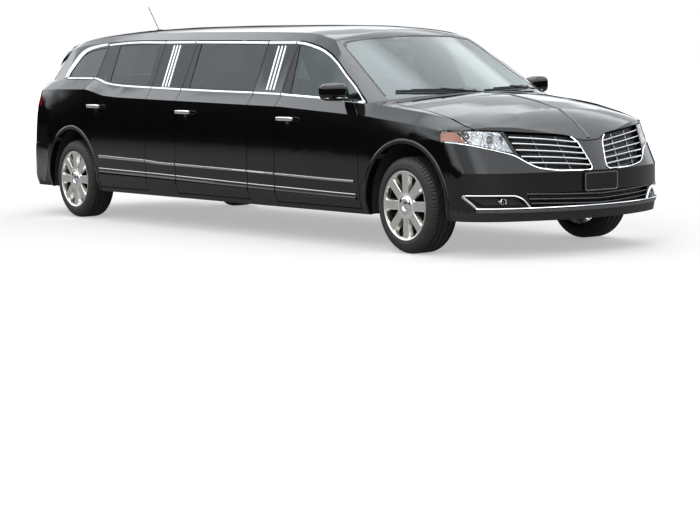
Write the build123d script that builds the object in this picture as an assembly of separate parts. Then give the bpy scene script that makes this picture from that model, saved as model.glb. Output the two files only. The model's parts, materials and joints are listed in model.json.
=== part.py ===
from build123d import *
import functools
import os

# Stretch limousine with three forward-hinged doors a side: front, middle and rear.
# Millimetres. The front faces -Y, the left side is +X, +Z is up and the ground is z 0.
# The origin is on the ground under the middle of the length.

# Running gear
FRONT_AXLE_Y = -2574.0
REAR_AXLE_Y = 2402.0
HUB_Z = 350.0
TYRE_R = 350.0
TYRE_W = 235.0
RIM_R = 246.0
SPOKES = 8
BRAKE_R = 165.0
WHEEL_X = 822.0
ARCH_FRONT_R = 447.0
ARCH_REAR_R = 452.0
LINER_R = 466.0
LINER_X = 655.0
FRONT_LINER_X = 500.0

# Walls
SIDE_WALL = 92.0
PILLAR_WALL = 46.0
SKIN = 60.0
FLOOR_Z = 262.0
FLOOR_TOP = 330.0
SHUT = 7.0

# Side sections: y, then half-width and height of the floor edge, sill crease, widest line, shoulder
# crease and belt, and the height of the middle of the deck or bonnet above them.
SIDE_ROWS = (
    # y, floor_x, sill_x, wide_x, crease_x, crease_z, belt_x, belt_z, top_z
    (-3660.0, 860.0, 880.0, 880.0, 760.0, 790.0, 560.0, 800.0, 690.0),
    (-3530.0, 868.0, 892.0, 892.0, 780.0, 826.0, 600.0, 845.0, 798.0),
    (-3440.0, 875.0, 900.0, 900.0, 800.0, 846.0, 640.0, 870.0, 872.0),
    (-3335.0, 882.0, 908.0, 908.0, 832.0, 866.0, 690.0, 896.0, 948.0),
    (-3200.0, 890.0, 916.0, 918.0, 864.0, 878.0, 730.0, 930.0, 1018.0),
    (-2975.0, 902.0, 930.0, 934.0, 893.0, 889.0, 790.0, 972.0, 1070.0),
    (-2676.0, 918.0, 946.0, 952.0, 928.0, 934.0, 842.0, 1020.0, 1116.0),
    (-2150.0, 926.0, 956.0, 963.0, 945.0, 985.0, 884.0, 1075.0, 1152.0),
    (-1000.0, 928.0, 958.0, 965.0, 947.0, 1044.0, 886.0, 1127.0, 1180.0),
    (600.0, 928.0, 958.0, 965.0, 947.0, 1076.0, 886.0, 1160.0, 1210.0),
    (1560.0, 928.0, 958.0, 965.0, 947.0, 1096.0, 882.0, 1186.0, 1240.0),
    (1820.0, 928.0, 958.0, 965.0, 946.0, 1110.0, 874.0, 1200.0, 1250.0),
    (2000.0, 928.0, 958.0, 965.0, 944.0, 1142.0, 862.0, 1232.0, 1270.0),
    (2140.0, 928.0, 957.0, 964.0, 940.0, 1163.0, 850.0, 1250.0, 1290.0),
    (2700.0, 922.0, 950.0, 955.0, 912.0, 1160.0, 806.0, 1250.0, 1290.0),
    (3100.0, 905.0, 932.0, 934.0, 862.0, 1150.0, 740.0, 1240.0, 1285.0),
    (3400.0, 880.0, 905.0, 906.0, 800.0, 1140.0, 670.0, 1205.0, 1240.0),
    (3680.0, 850.0, 875.0, 876.0, 740.0, 1120.0, 600.0, 1150.0, 1180.0),
)
SILL_Z = 372.0

# Plan outlines stacked up the height: z, the middle of the nose and the middle of the tail.
PLAN_ROWS = (
    # z, nose_y, tail_y
    (200.0, -3560.0, 3540.0),
    (262.0, -3604.0, 3575.0),
    (345.0, -3625.0, 3634.0),
    (600.0, -3627.0, 3627.0),
    (660.0, -3594.0, 3612.0),
    (811.0, -3512.0, 3592.0),
    (915.0, -3462.0, 3570.0),
    (1012.0, -3420.0, 3540.0),
    (1140.0, -3380.0, 3462.0),
    (1262.0, -3340.0, 3340.0),
    (1330.0, -3320.0, 3270.0),
)

# Cabin sections: y, then half-width and height of the foot, window rail and gutter, and the roof's middle.
CABIN_ROWS = (
    # y, foot_x, foot_z, rail_x, rail_z, gutter_x, gutter_z, roof_z
    (-2330.0, 905.0, 940.0, 890.0, 1000.0, 800.0, 1060.0, 1250.0),
    (-2080.0, 900.0, 1025.0, 872.0, 1085.0, 775.0, 1168.0, 1400.0),
    (-1854.0, 893.0, 1060.0, 822.0, 1206.0, 720.0, 1300.0, 1500.0),
    (-1542.0, 903.0, 1060.0, 762.0, 1384.0, 668.0, 1474.0, 1598.0),
    (-1332.0, 907.0, 1060.0, 730.0, 1470.0, 648.0, 1552.0, 1626.0),
    (-1130.0, 911.0, 1060.0, 718.0, 1520.0, 643.0, 1594.0, 1645.0),
    (-900.0, 915.0, 1060.0, 714.0, 1546.0, 641.0, 1612.0, 1660.0),
    (-300.0, 920.0, 1060.0, 713.0, 1562.0, 641.0, 1628.0, 1676.0),
    (700.0, 928.0, 1060.0, 712.0, 1578.0, 641.0, 1642.0, 1690.0),
    (1500.0, 935.0, 1060.0, 712.0, 1586.0, 640.0, 1645.0, 1692.0),
    (2100.0, 939.0, 1060.0, 704.0, 1574.0, 634.0, 1634.0, 1682.0),
    (2500.0, 908.0, 1060.0, 684.0, 1556.0, 616.0, 1612.0, 1664.0),
    (2760.0, 890.0, 1060.0, 662.0, 1538.0, 598.0, 1586.0, 1644.0),
    (3400.0, 729.0, 1060.0, 575.0, 1440.0, 520.0, 1480.0, 1566.0),
)


def polygon(points):
    """Flat face through 3-D points."""
    return make_face(Polyline(*points, close=True))


def prism_x(points, x0, x1):
    """Outline of (y, z) points, from x0 to x1."""
    return extrude(polygon([(x0, y, z) for y, z in points]), amount=x1 - x0, dir=(1, 0, 0))


def prism_y(points, y0, y1):
    """Outline of (x, z) points, from y0 to y1."""
    return extrude(polygon([(x, y0, z) for x, z in points]), amount=y1 - y0, dir=(0, 1, 0))


def prism_z(points, z0, z1):
    """Outline of (x, y) points, from z0 to z1."""
    return extrude(polygon([(x, y, z0) for x, y in points]), amount=z1 - z0, dir=(0, 0, 1))


def block(x0, x1, y0, y1, z0, z1):
    """Box between two corners."""
    return Pos((x0 + x1) / 2, (y0 + y1) / 2, (z0 + z1) / 2) * Box(x1 - x0, y1 - y0, z1 - z0)


def drum(x0, x1, y, z, r):
    """Round bar along X."""
    return Pos((x0 + x1) / 2, y, z) * Rot(0, 90, 0) * Cylinder(r, x1 - x0)


def bar(start, end, r):
    """Round bar between two points."""
    start = Vector(*start)
    end = Vector(*end)
    return Solid.make_cylinder(r, (end - start).length, Plane(start, z_dir=end - start))


def both(solid):
    """A right-hand solid and its mirror image."""
    return [solid, mirror(solid, about=Plane.YZ)]


def half_loop(right, top):
    """Closed wire of a right-hand half section mirrored to the left, with an arched top.

    right runs from the floor up to the top edge; an item of three points is an arc, of two a line.
    """
    edges = []
    for item in right:
        flipped = [(-x, y, z) for x, y, z in item]
        if len(item) == 3:
            edges.append(ThreePointArc(*item))
            edges.append(ThreePointArc(*flipped))
        else:
            edges.append(Line(*item))
            edges.append(Line(*flipped))
    low = right[0][0]
    high = right[-1][-1]
    edges.append(Line(low, (-low[0], low[1], low[2])))
    edges.append(ThreePointArc(high, top, (-high[0], high[1], high[2])))
    return Wire(edges)


def side_solid(inset=0.0, low=FLOOR_Z):
    """Lower body through the side sections, drawn in by inset."""
    wires = []
    for y, floor_x, sill_x, wide_x, crease_x, crease_z, belt_x, belt_z, top_z in SIDE_ROWS:
        floor_x, sill_x, wide_x, crease_x, belt_x = (
            -(v - inset) for v in (floor_x, sill_x, wide_x, crease_x, belt_x)
        )
        drop = inset * 0.7
        right = [
            [(floor_x, y, low), (sill_x, y, SILL_Z)],
            [(sill_x, y, SILL_Z), (wide_x, y, 0.5 * (SILL_Z + crease_z) + 20), (crease_x, y, crease_z - drop)],
            [(crease_x, y, crease_z - drop), (belt_x, y, belt_z - drop)],
        ]
        wires.append(half_loop(right, (0, y, top_z - drop)))
    return Solid.make_loft(wires, ruled=True)


def plan_solid(inset=0.0):
    """Plan outlines stacked up the height, drawn in by inset at the nose and tail."""
    wires = []
    for z, nose, tail in PLAN_ROWS:
        n = nose + inset
        t = tail - inset
        w = inset * 0.8
        points = {
            "nose": [(-660 + w, n + 174, z), (0, n, z), (660 - w, n + 174, z)],
            "left": [(660 - w, n + 174, z), (826 - w, n + 322, z), (912 - w, n + 560, z)],
            "lead": [(912 - w, n + 560, z), (985, n + 1300, z)],
            "side": [(985, n + 1300, z), (985, t - 900, z)],
            "trail": [(985, t - 900, z), (885 - w, t - 430, z)],
            "corner": [(885 - w, t - 430, z), (826 - w, t - 262, z), (760 - w, t - 178, z)],
            "tail": [(760 - w, t - 178, z), (0, t, z), (-760 + w, t - 178, z)],
        }
        edges = []
        for name, item in points.items():
            edges.append(ThreePointArc(*item) if len(item) == 3 else Line(*item))
            if name not in ("nose", "tail"):
                flipped = [(-x, y, zz) for x, y, zz in item]
                edges.append(ThreePointArc(*flipped) if len(item) == 3 else Line(*flipped))
        wires.append(Wire(edges))
    return Solid.make_loft(wires, ruled=True)


def cabin_solid(inset=0.0):
    """Roof and window zone through the cabin sections, drawn in by inset; the foot drops with the inset."""
    wires = []
    drop = inset * 1.3
    for y, foot_x, foot_z, rail_x, rail_z, gutter_x, gutter_z, roof_z in CABIN_ROWS:
        lean = (foot_x - rail_x) / (rail_z - foot_z)
        foot = (-(foot_x - inset + drop * lean), y, foot_z - drop)
        rail = (-(rail_x - inset), y, rail_z)
        gutter = (-(gutter_x - inset), y, gutter_z - inset * 0.9)
        right = [[foot, rail], [rail, gutter]]
        wires.append(half_loop(right, (0, y, roof_z - inset)))
    return Solid.make_loft(wires, ruled=True)


def screen(rows, shift, outward):
    """Everything on one side of a bowed screen: rows are (z, middle y, corner x, corner y)."""
    wires = []
    for z, middle, corner_x, corner_y in rows:
        a = (-corner_x, corner_y + shift, z)
        b = (0, middle + shift, z)
        c = (corner_x, corner_y + shift, z)
        far = corner_y + outward
        wires.append(Wire([
            ThreePointArc(a, b, c),
            Line(c, (corner_x, far, z)),
            Line((corner_x, far, z), (-corner_x, far, z)),
            Line((-corner_x, far, z), a),
        ]))
    return Solid.make_loft(wires, ruled=True)


# Bowed screens: z, middle y, corner x, corner y
WINDSCREEN = ((1000.0, -2590.0, 1000.0, -2070.0), (1720.0, -1200.0, 1000.0, -690.0))
REAR_SCREEN = ((1100.0, 3500.0, 900.0, 3200.0), (1700.0, 2885.0, 900.0, 2520.0))

# Outlines in side view, as (y, z)
FRONT_DOOR = (
    (-2040, 306), (-2040, 1085), (-1854, 1202), (-1695, 1290), (-1542, 1382), (-1423, 1438), (-1332, 1472),
    (-1250, 1496), (-1130, 1522), (-1040, 1536), (-931, 1546), (-931, 306),
)
MIDDLE_DOOR = ((-530, 306), (-530, 1551), (572, 1569), (572, 306))
REAR_DOOR = (
    (1070, 306), (1070, 1573), (1500, 1580), (1723, 1578), (2066, 1564), (2090, 1290), (2140, 1240), (2172, 1160),
    (2178, 900), (2160, 768), (2056, 684), (1972, 560), (1929, 420), (1926, 306),
)
FRONT_GLASS = (
    (-1967, 1100), (-1840, 1180), (-1681, 1268), (-1528, 1360), (-1412, 1414), (-1325, 1447), (-1245, 1471),
    (-1128, 1496), (-975, 1516), (-1045, 1142),
)
MIDDLE_GLASS = ((-512, 1166), (-502, 1524), (486, 1546), (462, 1184))
REAR_GLASS = ((1142, 1200), (1172, 1548), (1500, 1550), (1862, 1542), (1826, 1232), (1700, 1216))
QUARTER_GLASS = (
    (2112, 1276), (2098, 1528), (2304, 1512), (2473, 1488), (2565, 1452), (2626, 1404), (2690, 1320), (2712, 1276),
)


def grown(points, by):
    """Outline of (y, z) points grown outward by a distance."""
    face = make_face(Polyline(*[(y, z) for y, z in points], close=True))
    ring = offset(face, amount=by, kind=Kind.INTERSECTION)
    return ring


def prism_face(face, x0, x1):
    """A face drawn in (y, z) moved into the side plane and carried from x0 to x1."""
    return extrude(Plane.YZ.offset(x0) * face, amount=x1 - x0)


def side_cut(points, by=0.0, x0=-1100.0, x1=-400.0):
    """Cutter for the right side: an outline grown by a distance, through the wall."""
    return prism_face(grown(points, by), x0, x1) if by else prism_x(points, x0, x1)


# Outlines in front view, as (x, z), right-hand half
BONNET_LINE = (
    (0, 806), (-50, 807), (-100, 813), (-136, 832), (-190, 848), (-270, 859), (-370, 867), (-460, 874), (-550, 882),
    (-645, 890), (-709, 897), (-790, 903),
)
GRILLE = (
    (-60, 606), (-116, 816), (-136, 826.5), (-190, 842.5), (-270, 853.5), (-370, 861.5), (-460, 868.5), (-550, 876.5),
    (-628, 883), (-585, 722), (-545, 672), (-484, 632), (-341, 611), (-245, 606),
)
GRILLE_BARS = (
    # inner z at x 60, outer z at x 640
    (793, 853), (756, 812.5), (718.6, 767), (680, 722), (641.6, 680.7),
)
LOWER_BARS = ((434, 453), (400, 418), (369, 386))
LAMP = (
    (-1000, 894.5), (-790, 894.5), (-748, 891), (-709, 888), (-650, 882), (-606, 738), (-706, 760), (-774, 784),
    (-832, 804), (-1000, 832),
)
FOG = ((-888, 444), (-642, 438), (-590, 408), (-552, 362), (-826, 362))
LOWER_GRILLE = ((-536, 362), (-572, 456), (572, 456), (536, 362))
GATE_LOW = ((0, 702), (-590, 706), (-650, 726), (-680, 790), (-706, 1012), (-706, 1254), (0, 1254))
GATE_HIGH = ((2790, 1760), (2790, 1652), (3150, 1254), (3800, 1254), (3800, 1760))
REAR_BUMPER = ((0, 200), (-1000, 200), (-1000, 652), (-840, 655), (-700, 692), (0, 692))
BUMPER_BREAK_Y = 2868.0
PLATE_W = 316.0
FRONT_PAD_Y = -3634.0
REAR_PAD_Y = 3641.0
TAIL_LAMP = ((-720, 1010), (-716, 1138), (-860, 1112), (-1000, 1088), (-1000, 1012), (-860, 1008))
LIGHT_BAR = ((0, 1152), (-400, 1150), (-688, 1137), (-696, 1012), (-400, 998), (-58, 994), (-44, 915), (0, 908))
SCREEN_HOLE = ((0, 1100), (-742, 1100), (-742, 1128), (-634, 1512), (-600, 1534), (-400, 1560), (0, 1574))
REAR_HOLE = ((0, 1262), (-668, 1252), (-600, 1500), (-560, 1512), (0, 1520))
BONNET_PLAN = ((0, -3700), (-790, -3700), (-792, -3300), (-800, -2262), (-620, -2330), (-300, -2400), (0, -2422))
MIRROR_SECTIONS = (
    # x, middle y, middle z, depth, height, corner radius
    (-1092.0, -1774.0, 1164.0, 58.0, 80.0, 22.0),
    (-1070.0, -1784.0, 1164.0, 106.0, 116.0, 38.0),
    (-985.0, -1792.0, 1163.0, 130.0, 134.0, 46.0),
    (-908.0, -1796.0, 1158.0, 116.0, 118.0, 40.0),
    (-886.0, -1796.0, 1154.0, 84.0, 88.0, 28.0),
)
FUEL_DOOR = (2918.0, 890.0, 222.0, 162.0)


def tidy(shape):
    """The solids of a shape, without crumbs."""
    return [s for s in shape.solids() if s.volume > 3000]


def save(name, *shapes):
    """Writes one node."""
    solids = []
    for shape in shapes:
        for item in shape if isinstance(shape, (list, tuple)) else [shape]:
            solids.extend(tidy(item))
    body = solids[0] if len(solids) == 1 else Compound(children=solids)
    export_step(body, f"parts/{name}.step")
    return body


@functools.lru_cache(maxsize=None)
def side_mass(inset=0.0, low=FLOOR_Z):
    """Side solid, kept for use again."""
    return side_solid(inset, low)


@functools.lru_cache(maxsize=None)
def plan_mass(inset=0.0):
    """Plan solid, kept for use again."""
    return plan_solid(inset)


@functools.lru_cache(maxsize=None)
def cabin_mass(inset=0.0):
    """Cabin solid, kept for use again."""
    return cabin_solid(inset)


def nose_band(outer, inner, outline):
    """Sheet between two insets of the nose, inside a front-view outline."""
    zone = prism_y(list(outline), -3800, -3150)
    return (zone & plan_mass(outer)) - plan_mass(inner)


def front_grown(points, by, y0, y1):
    """Outline of (x, z) points grown by a distance, from y0 to y1."""
    ring = offset(make_face(Polyline(*points, close=True)), amount=by, kind=Kind.INTERSECTION)
    return extrude(Plane(origin=(0, y0, 0), x_dir=(1, 0, 0), z_dir=(0, -1, 0)) * ring, amount=-(y1 - y0))


def rail(x0, z0, x1, z1, height):
    """A level or slanted grille bar's slice through the nose, drawn in front view."""
    h = height / 2
    return prism_y([(x0, z0 - h), (x1, z1 - h), (x1, z1 + h), (x0, z0 + h)], -3800, -3150)


def drum_y(x, z, r, y0, y1):
    """Round bar along Y."""
    return Pos(x, (y0 + y1) / 2, z) * Rot(90, 0, 0) * Cylinder(r, y1 - y0)


def wheel_space():
    """Room for the tyres and their liners, cut out of the right-hand walls."""
    cuts = []
    for y, r, inner in ((FRONT_AXLE_Y, ARCH_FRONT_R, FRONT_LINER_X), (REAR_AXLE_Y, ARCH_REAR_R, LINER_X)):
        cuts.append(drum(-1100, -905, y, HUB_Z, r) + drum(-905.5, -inner + 3, y, HUB_Z, LINER_R + 18))
    return cuts


def liners():
    """Wheelhouse tubs on the right: an arched band with an inner wall, open below."""
    out = []
    for y, inner in ((FRONT_AXLE_Y, FRONT_LINER_X), (REAR_AXLE_Y, LINER_X)):
        tub = drum(-900, -inner, y, HUB_Z, LINER_R) - drum(-901, -inner - 12, y, HUB_Z, LINER_R - 12)
        tub = tub - block(-1000, -400, y - 600, y + 600, -200, FLOOR_Z + 12)
        out.append(tub - drum(-700, -400, y, HUB_Z - 18, 52))
    return out


def tyre():
    """Tyre ring about the X axis at the origin, with rounded shoulders."""
    w = TYRE_W / 2
    half = [
        (RIM_R - 6, w - 18), (RIM_R + 30, w - 2), (RIM_R + 60, w), (TYRE_R - 22, w - 6), (TYRE_R - 6, w - 22),
        (TYRE_R, w - 48),
    ]
    ring = half + [(r, -x) for r, x in reversed(half)]
    return revolve(polygon([(x, r, 0) for r, x in ring]), axis=Axis.X, revolution_arc=360)


def rim():
    """Wheel about the X axis at the origin, its face towards -X: barrel, eight broad spokes and a hub."""
    w = TYRE_W / 2
    barrel = [
        (RIM_R - 6.3, -w + 17), (RIM_R - 6.3, w - 20), (RIM_R - 26, w - 20), (RIM_R - 26, -w + 48),
        (RIM_R - 20, -w + 17),
    ]
    body = revolve(polygon([(x, r, 0) for r, x in barrel]), axis=Axis.X, revolution_arc=360)
    body += drum(-w + 34, w - 60, 0, 0, 78) + drum(0, 14, 0, 0, BRAKE_R)
    outline = [(38, 60), (36, 110), (42, 188), (76, RIM_R - 22)]
    spoke = prism_x(outline + [(-a, b) for a, b in reversed(outline)], -w + 22, -w + 48)
    for i in range(SPOKES):
        body += Rot(360.0 / SPOKES * i, 0, 0) * spoke
    dome = [(0, -w + 3), (30, -w + 6), (52, -w + 11), (70, -w + 16), (75, -w + 22), (75, -w + 36), (0, -w + 36)]
    return body + revolve(polygon([(x, r, 0) for r, x in dome]), axis=Axis.X, revolution_arc=360)


def wheel_at(solid, x, y):
    """A right-hand wheel part moved to an axle end; the sign of x decides the side."""
    if x > 0:
        solid = mirror(solid, about=Plane.YZ)
    return Pos(x, y, HUB_Z) * solid


def seat(width, depth, height, back_top, recline):
    """Seat facing -Y with its cushion's front edge at y 0, from its side profile."""
    d = depth
    return prism_x(
        [
            (0, 130), (0, height - 40), (40, height), (d - 40, height - 25), (d + 40 + recline * 0.6, back_top),
            (d + 110 + recline, back_top - 10), (d + 120, 160), (d + 60, 130),
        ],
        -width / 2, width / 2,
    )


def mirror_head():
    """Right door mirror: a foot on the door's corner and a rounded head, hollowed behind for the glass."""
    wires = []
    for x, y, z, depth, height, radius in MIRROR_SECTIONS:
        place = Plane(origin=(x, y, z), x_dir=(0, 1, 0), z_dir=(1, 0, 0))
        wires.append((place * RectangleRounded(depth, height, radius)).wire())
    head = Solid.make_loft(wires)
    glass_room = Plane(origin=(-990, -1732, 1162), x_dir=(1, 0, 0), z_dir=(0, 1, 0)) * RectangleRounded(146, 88, 26)
    head = head - extrude(glass_room, amount=60)
    foot = prism_y([(-862, 1092), (-858, 1140), (-950, 1156), (-950, 1108)], -1836, -1772)
    return head + foot


def build_front(lower_r, holes):
    """Bonnet, wings, bumper, lamps, grilles and cowl."""
    front = lower_r & block(-1200, 0, -4000, -2046, 0, 1400)
    skin = front - (side_mass(SKIN, FLOOR_Z + 45) & plan_mass(SKIN))
    lift = prism_y(list(BONNET_LINE) + [(-790, 1400), (0, 1400)], -4000, -2000)
    bonnet = skin & prism_z(list(BONNET_PLAN), 700, 1300) & lift
    bonnet = bonnet - (side_mass(25) & block(-640, 0, -2480, -2200, 900, 1300))
    gap_plan = ((0, -3800), (-797, -3800), (-799, -3300), (-807, -2255), (-620, -2321), (-300, -2391), (0, -2413))
    gap_line = [(x, z - 6) for x, z in BONNET_LINE] + [(-798, 897), (-798, 1400), (0, 1400)]
    rest = skin - (prism_z(list(gap_plan), 700, 1300) & prism_y(gap_line, -4000, -2000))
    lamp_plan = [(-1000, -2962), (-850, -2962), (-600, -3281), (-600, -3600), (-1000, -3600)]
    lamp = front & prism_y(list(LAMP), -3700, -2900) & prism_z(lamp_plan, 700, 960)
    lamp_room = [(-1010, -2956), (-842, -2956), (-590, -3272), (-590, -3700), (-1010, -3700)]
    rest = rest - (front_grown(LAMP, 4, -3800, -2900) & prism_z(lamp_room, 690, 970))
    cowl = rest & block(-745, 0, -2500, -2046, 900, 1300)
    rest = rest - block(-747, 0, -2500, -2046, 900, 1300)
    split = block(-1200, 0, -3503, -3003, 0, 872)
    bumper = rest & (block(-1200, 0, -4000, -3003, 0, 876) + block(-788, 0, -4000, -3003, 870, 1400))
    fender = rest - block(-1200, 0, -4000, -3000, 0, 879) - block(-790, 0, -4000, -2700, 0, 1400)
    fender = fender - block(-FRONT_LINER_X - 6, 0, -3100, -2040, 0, 700) - split
    fender = fender - holes[0]
    bumper = bumper - holes[0] - block(-700, 0, -3330, -3000, 0, 345)
    bumper = bumper - prism_y(list(GRILLE), -3800, -3200) - prism_y(list(FOG), -3800, -3000)
    bumper = bumper - prism_y(list(LOWER_GRILLE), -3800, -3200)
    bumper = bumper + block(-PLATE_W / 2, 0, FRONT_PAD_Y, -3590, 458, 582)
    for x, z in ((-88.9, 485), (-88.9, 555)):
        bumper = bumper - drum_y(x, z, 3, FRONT_PAD_Y - 1, FRONT_PAD_Y + 16)
    save("bonnet", [bonnet + mirror(bonnet, about=Plane.YZ)])
    save("front_fenders", both(fender))
    save("front_bumper", [bumper + mirror(bumper, about=Plane.YZ)])
    save("headlamps", both(lamp))
    save("cowl", [cowl + mirror(cowl, about=Plane.YZ)])

    bars = [rail(-60, inner, -640, outer, 9) for inner, outer in GRILLE_BARS]
    edge = front_grown(GRILLE, -0.5, -3800, -3150) - front_grown(GRILLE, -9, -3800, -3150)
    ribs = (edge + bars[0] + bars[1:]) & front_grown(GRILLE, -0.5, -3800, -3150)
    grille = nose_band(30, 42, GRILLE) + ((ribs & plan_mass(8)) - plan_mass(31))
    save("grille", both(grille))
    bars = [rail(0, inner, -580, outer, 7) for inner, outer in LOWER_BARS]
    bars += [mirror(b, about=Plane.YZ) for b in bars]
    low = nose_band(30, 44, LOWER_GRILLE) + (nose_band(8, 31, LOWER_GRILLE) & (bars[0] + bars[1:]))
    fog = nose_band(40, 52, FOG) + (drum_y(-706, 400, 32, -3480, -3372) & plan_mass(22))
    save("lower_grille", [low], both(fog))


def door_set(name, outline, glass, wall, radius):
    """One right-hand door cut from the wall, its glass, and the room it leaves."""
    hinge_y = min(y for y, z in outline) - 3.0
    sweep = Pos(-965, hinge_y, 1000) * Cylinder(radius, 2400)
    door = wall & side_cut(outline) & sweep
    door = door - side_cut(glass)
    pane = (side_cut(glass, -0.3) & cabin_mass(5)) - cabin_mass(11)
    room = side_cut(outline, SHUT) & (Pos(-965, hinge_y, 1000) * Cylinder(radius + SHUT, 2400))
    return door, pane, room


def handle(y, z):
    """Pull handle standing off the skin of a right-hand door."""
    grip = Pos(-985, y, z) * Box(18, 226, 28)
    grip = fillet(grip.edges().filter_by(Axis.Y), 7)
    return grip + block(-980, -940, y - 108, y - 80, z - 10, z + 10) + block(-980, -940, y + 80, y + 108, z - 10, z + 10)


def dish(y, z):
    """Finger room behind a door handle: a shallow bowl sunk in the skin."""
    return Pos(-1052, y, z) * Sphere(100)


def fuel_door_line():
    """Shut line of the fuel door on the right rear quarter."""
    y, z, length, height = FUEL_DOOR
    place = Plane(origin=(-1000, y, z), x_dir=(0, 1, 0), z_dir=(1, 0, 0))
    ring = RectangleRounded(length, height, 30) - RectangleRounded(length - 8, height - 8, 26)
    return extrude(place * ring, amount=98)


def build_body(lower_r, shell_r, holes):
    """Sides, doors, roof, floor, gate, rear bumper and the glass."""
    main_r = shell_r - (lower_r & block(-1200, 0, -4000, -2046, 0, 2000))
    main_r = main_r - block(-1200, 0, -2047, -2044, 0, 1076)
    floor = main_r & block(-862, 0, -2044, 3390, 0, FLOOR_TOP + 0.5)
    side = main_r - block(-864, 0, -2044, 3390, 0, FLOOR_TOP + 16)
    floor = floor - holes[1] - drum(-900, 0, REAR_AXLE_Y, HUB_Z - 20, 150) - block(-672, -564, 3040, 3500, 0, 700)
    bumper_zone = prism_y(list(REAR_BUMPER), BUMPER_BREAK_Y, 3800)
    bumper = (side & bumper_zone) - holes[1] - block(-1200, 0, 2800, 3800, 0, 300)
    side = side - front_grown(REAR_BUMPER, 3, BUMPER_BREAK_Y - 3, 3900)
    bumper = bumper + block(-PLATE_W / 2, 0, 3590, REAR_PAD_Y, 446, 606)
    bumper = bumper - block(-672, -564, 3000, 3800, 0, 378)
    for x, z in ((-88.9, 465.675), (-88.9, 586.325)):
        bumper = bumper - drum_y(x, z, 3, REAR_PAD_Y - 16, REAR_PAD_Y + 1)

    behind = prism_x(list(GATE_HIGH), -1200, 0)
    low_gate = prism_y(list(GATE_LOW), 3150, 3900)
    gate = (side & behind) + (side & low_gate)
    spoiler = (cabin_mass() - Pos(0, 0, -34) * cabin_mass()) & block(-1200, 0, 2795, 3300, 1300, 1800)
    spoiler = (spoiler - screen(REAR_SCREEN, 95, 1500)) & prism_x(list(GATE_HIGH), -640, 0)
    gate = gate + spoiler
    gate_hole = prism_x([(2783, 1800), (2783, 1650), (3146, 1247), (3900, 1247), (3900, 1800)], -1200, 0)
    gate_hole += front_grown(GATE_LOW, SHUT, 3143, 3900) & block(-1200, 0, 3143, 3900, 0, 1400)
    side = side - gate_hole
    skin = side_mass(45, FLOOR_Z + 45) & plan_mass(45)
    bar_zone = prism_y(list(LIGHT_BAR), 3200, 3900)
    light = (gate & bar_zone) - skin
    gate = gate - (bar_zone - skin) - prism_y(list(REAR_HOLE), 2600, 3700)
    pane = cabin_mass() & prism_y([(x + 0.4 if x else 0, z) for x, z in REAR_HOLE], 2700, 3700) & block(-1200, 0, 2700, 3700, 1262, 1600)
    pane = (pane - screen(REAR_SCREEN, -4, 1500)) & screen(REAR_SCREEN, -14, 1500)
    save("liftgate", [gate + mirror(gate, about=Plane.YZ)])
    save("liftgate_lamp", [light + mirror(light, about=Plane.YZ)])
    save("liftgate_glass", [pane + mirror(pane, about=Plane.YZ)])
    save("rear_bumper", [bumper + mirror(bumper, about=Plane.YZ)])
    save("floor_pan", [floor + mirror(floor, about=Plane.YZ)])

    lamp_zone = prism_y(list(TAIL_LAMP), 3087, 3900)
    lamp = (side & lamp_zone) - skin
    side = side - (front_grown(TAIL_LAMP, 2, 3085, 3900) - skin)
    save("tail_lamps", both(lamp))

    roof_zone = prism_y([(-637, 1380), (-637, 1800), (0, 1800), (0, 1380)], -1800, 2780)
    roof = (side & roof_zone)
    side = side - prism_y([(-639, 1380), (-639, 1800), (0, 1800), (0, 1380)], -1800, 2790)
    opening = prism_y(list(SCREEN_HOLE), -2700, -1000) & screen(WINDSCREEN, 60, -1500)
    roof = roof - opening
    side = side - opening
    save("roof_panel", [roof + mirror(roof, about=Plane.YZ)])
    inner_hole = [(x + 0.4 if x else 0, z + 0.4 if z < 1110 else z - 0.4) for x, z in SCREEN_HOLE]
    glass_zone = prism_y(inner_hole, -2700, -1000)
    glass = (cabin_mass() & glass_zone & block(-1200, 0, -2700, -1000, 1000, 1700) & screen(WINDSCREEN, 15, -1500))
    glass = glass - screen(WINDSCREEN, 2, -1500) - (side_mass() & plan_mass())
    save("windscreen", [glass + mirror(glass, about=Plane.YZ)])

    wall = side
    for name, outline, glass, radius, grip_y, grip_z in (
        ("front", FRONT_DOOR, FRONT_GLASS, 1111.4, -1118.0, 952.0),
        ("middle", MIDDLE_DOOR, MIDDLE_GLASS, 1104.4, 400.0, 984.0),
        ("rear", REAR_DOOR, REAR_GLASS, 1112.0, 1925.0, 1016.0),
    ):
        door, pane, room = door_set(name, outline, glass, wall, radius)
        door = door - dish(grip_y, grip_z) + handle(grip_y, grip_z)
        side = side - room
        for tag, solid in (("right", door), ("left", mirror(door, about=Plane.YZ))):
            save(f"door_{name}_{tag}", [solid])
        for tag, solid in (("right", pane), ("left", mirror(pane, about=Plane.YZ))):
            save(f"glass_{name}_{tag}", [solid])
    side = side - side_cut(QUARTER_GLASS)
    pane = (side_cut(QUARTER_GLASS, -0.3) & cabin_mass(5)) - cabin_mass(11)
    save("quarter_windows", both(pane))
    side = side - holes[0] - holes[1]
    save("body_side_right", [side - fuel_door_line()])
    save("body_side_left", [mirror(side, about=Plane.YZ)])
    mirror_r = mirror_head() - cabin_mass()
    save("door_mirror_right", [mirror_r])
    save("door_mirror_left", [mirror(mirror_r, about=Plane.YZ)])


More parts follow.
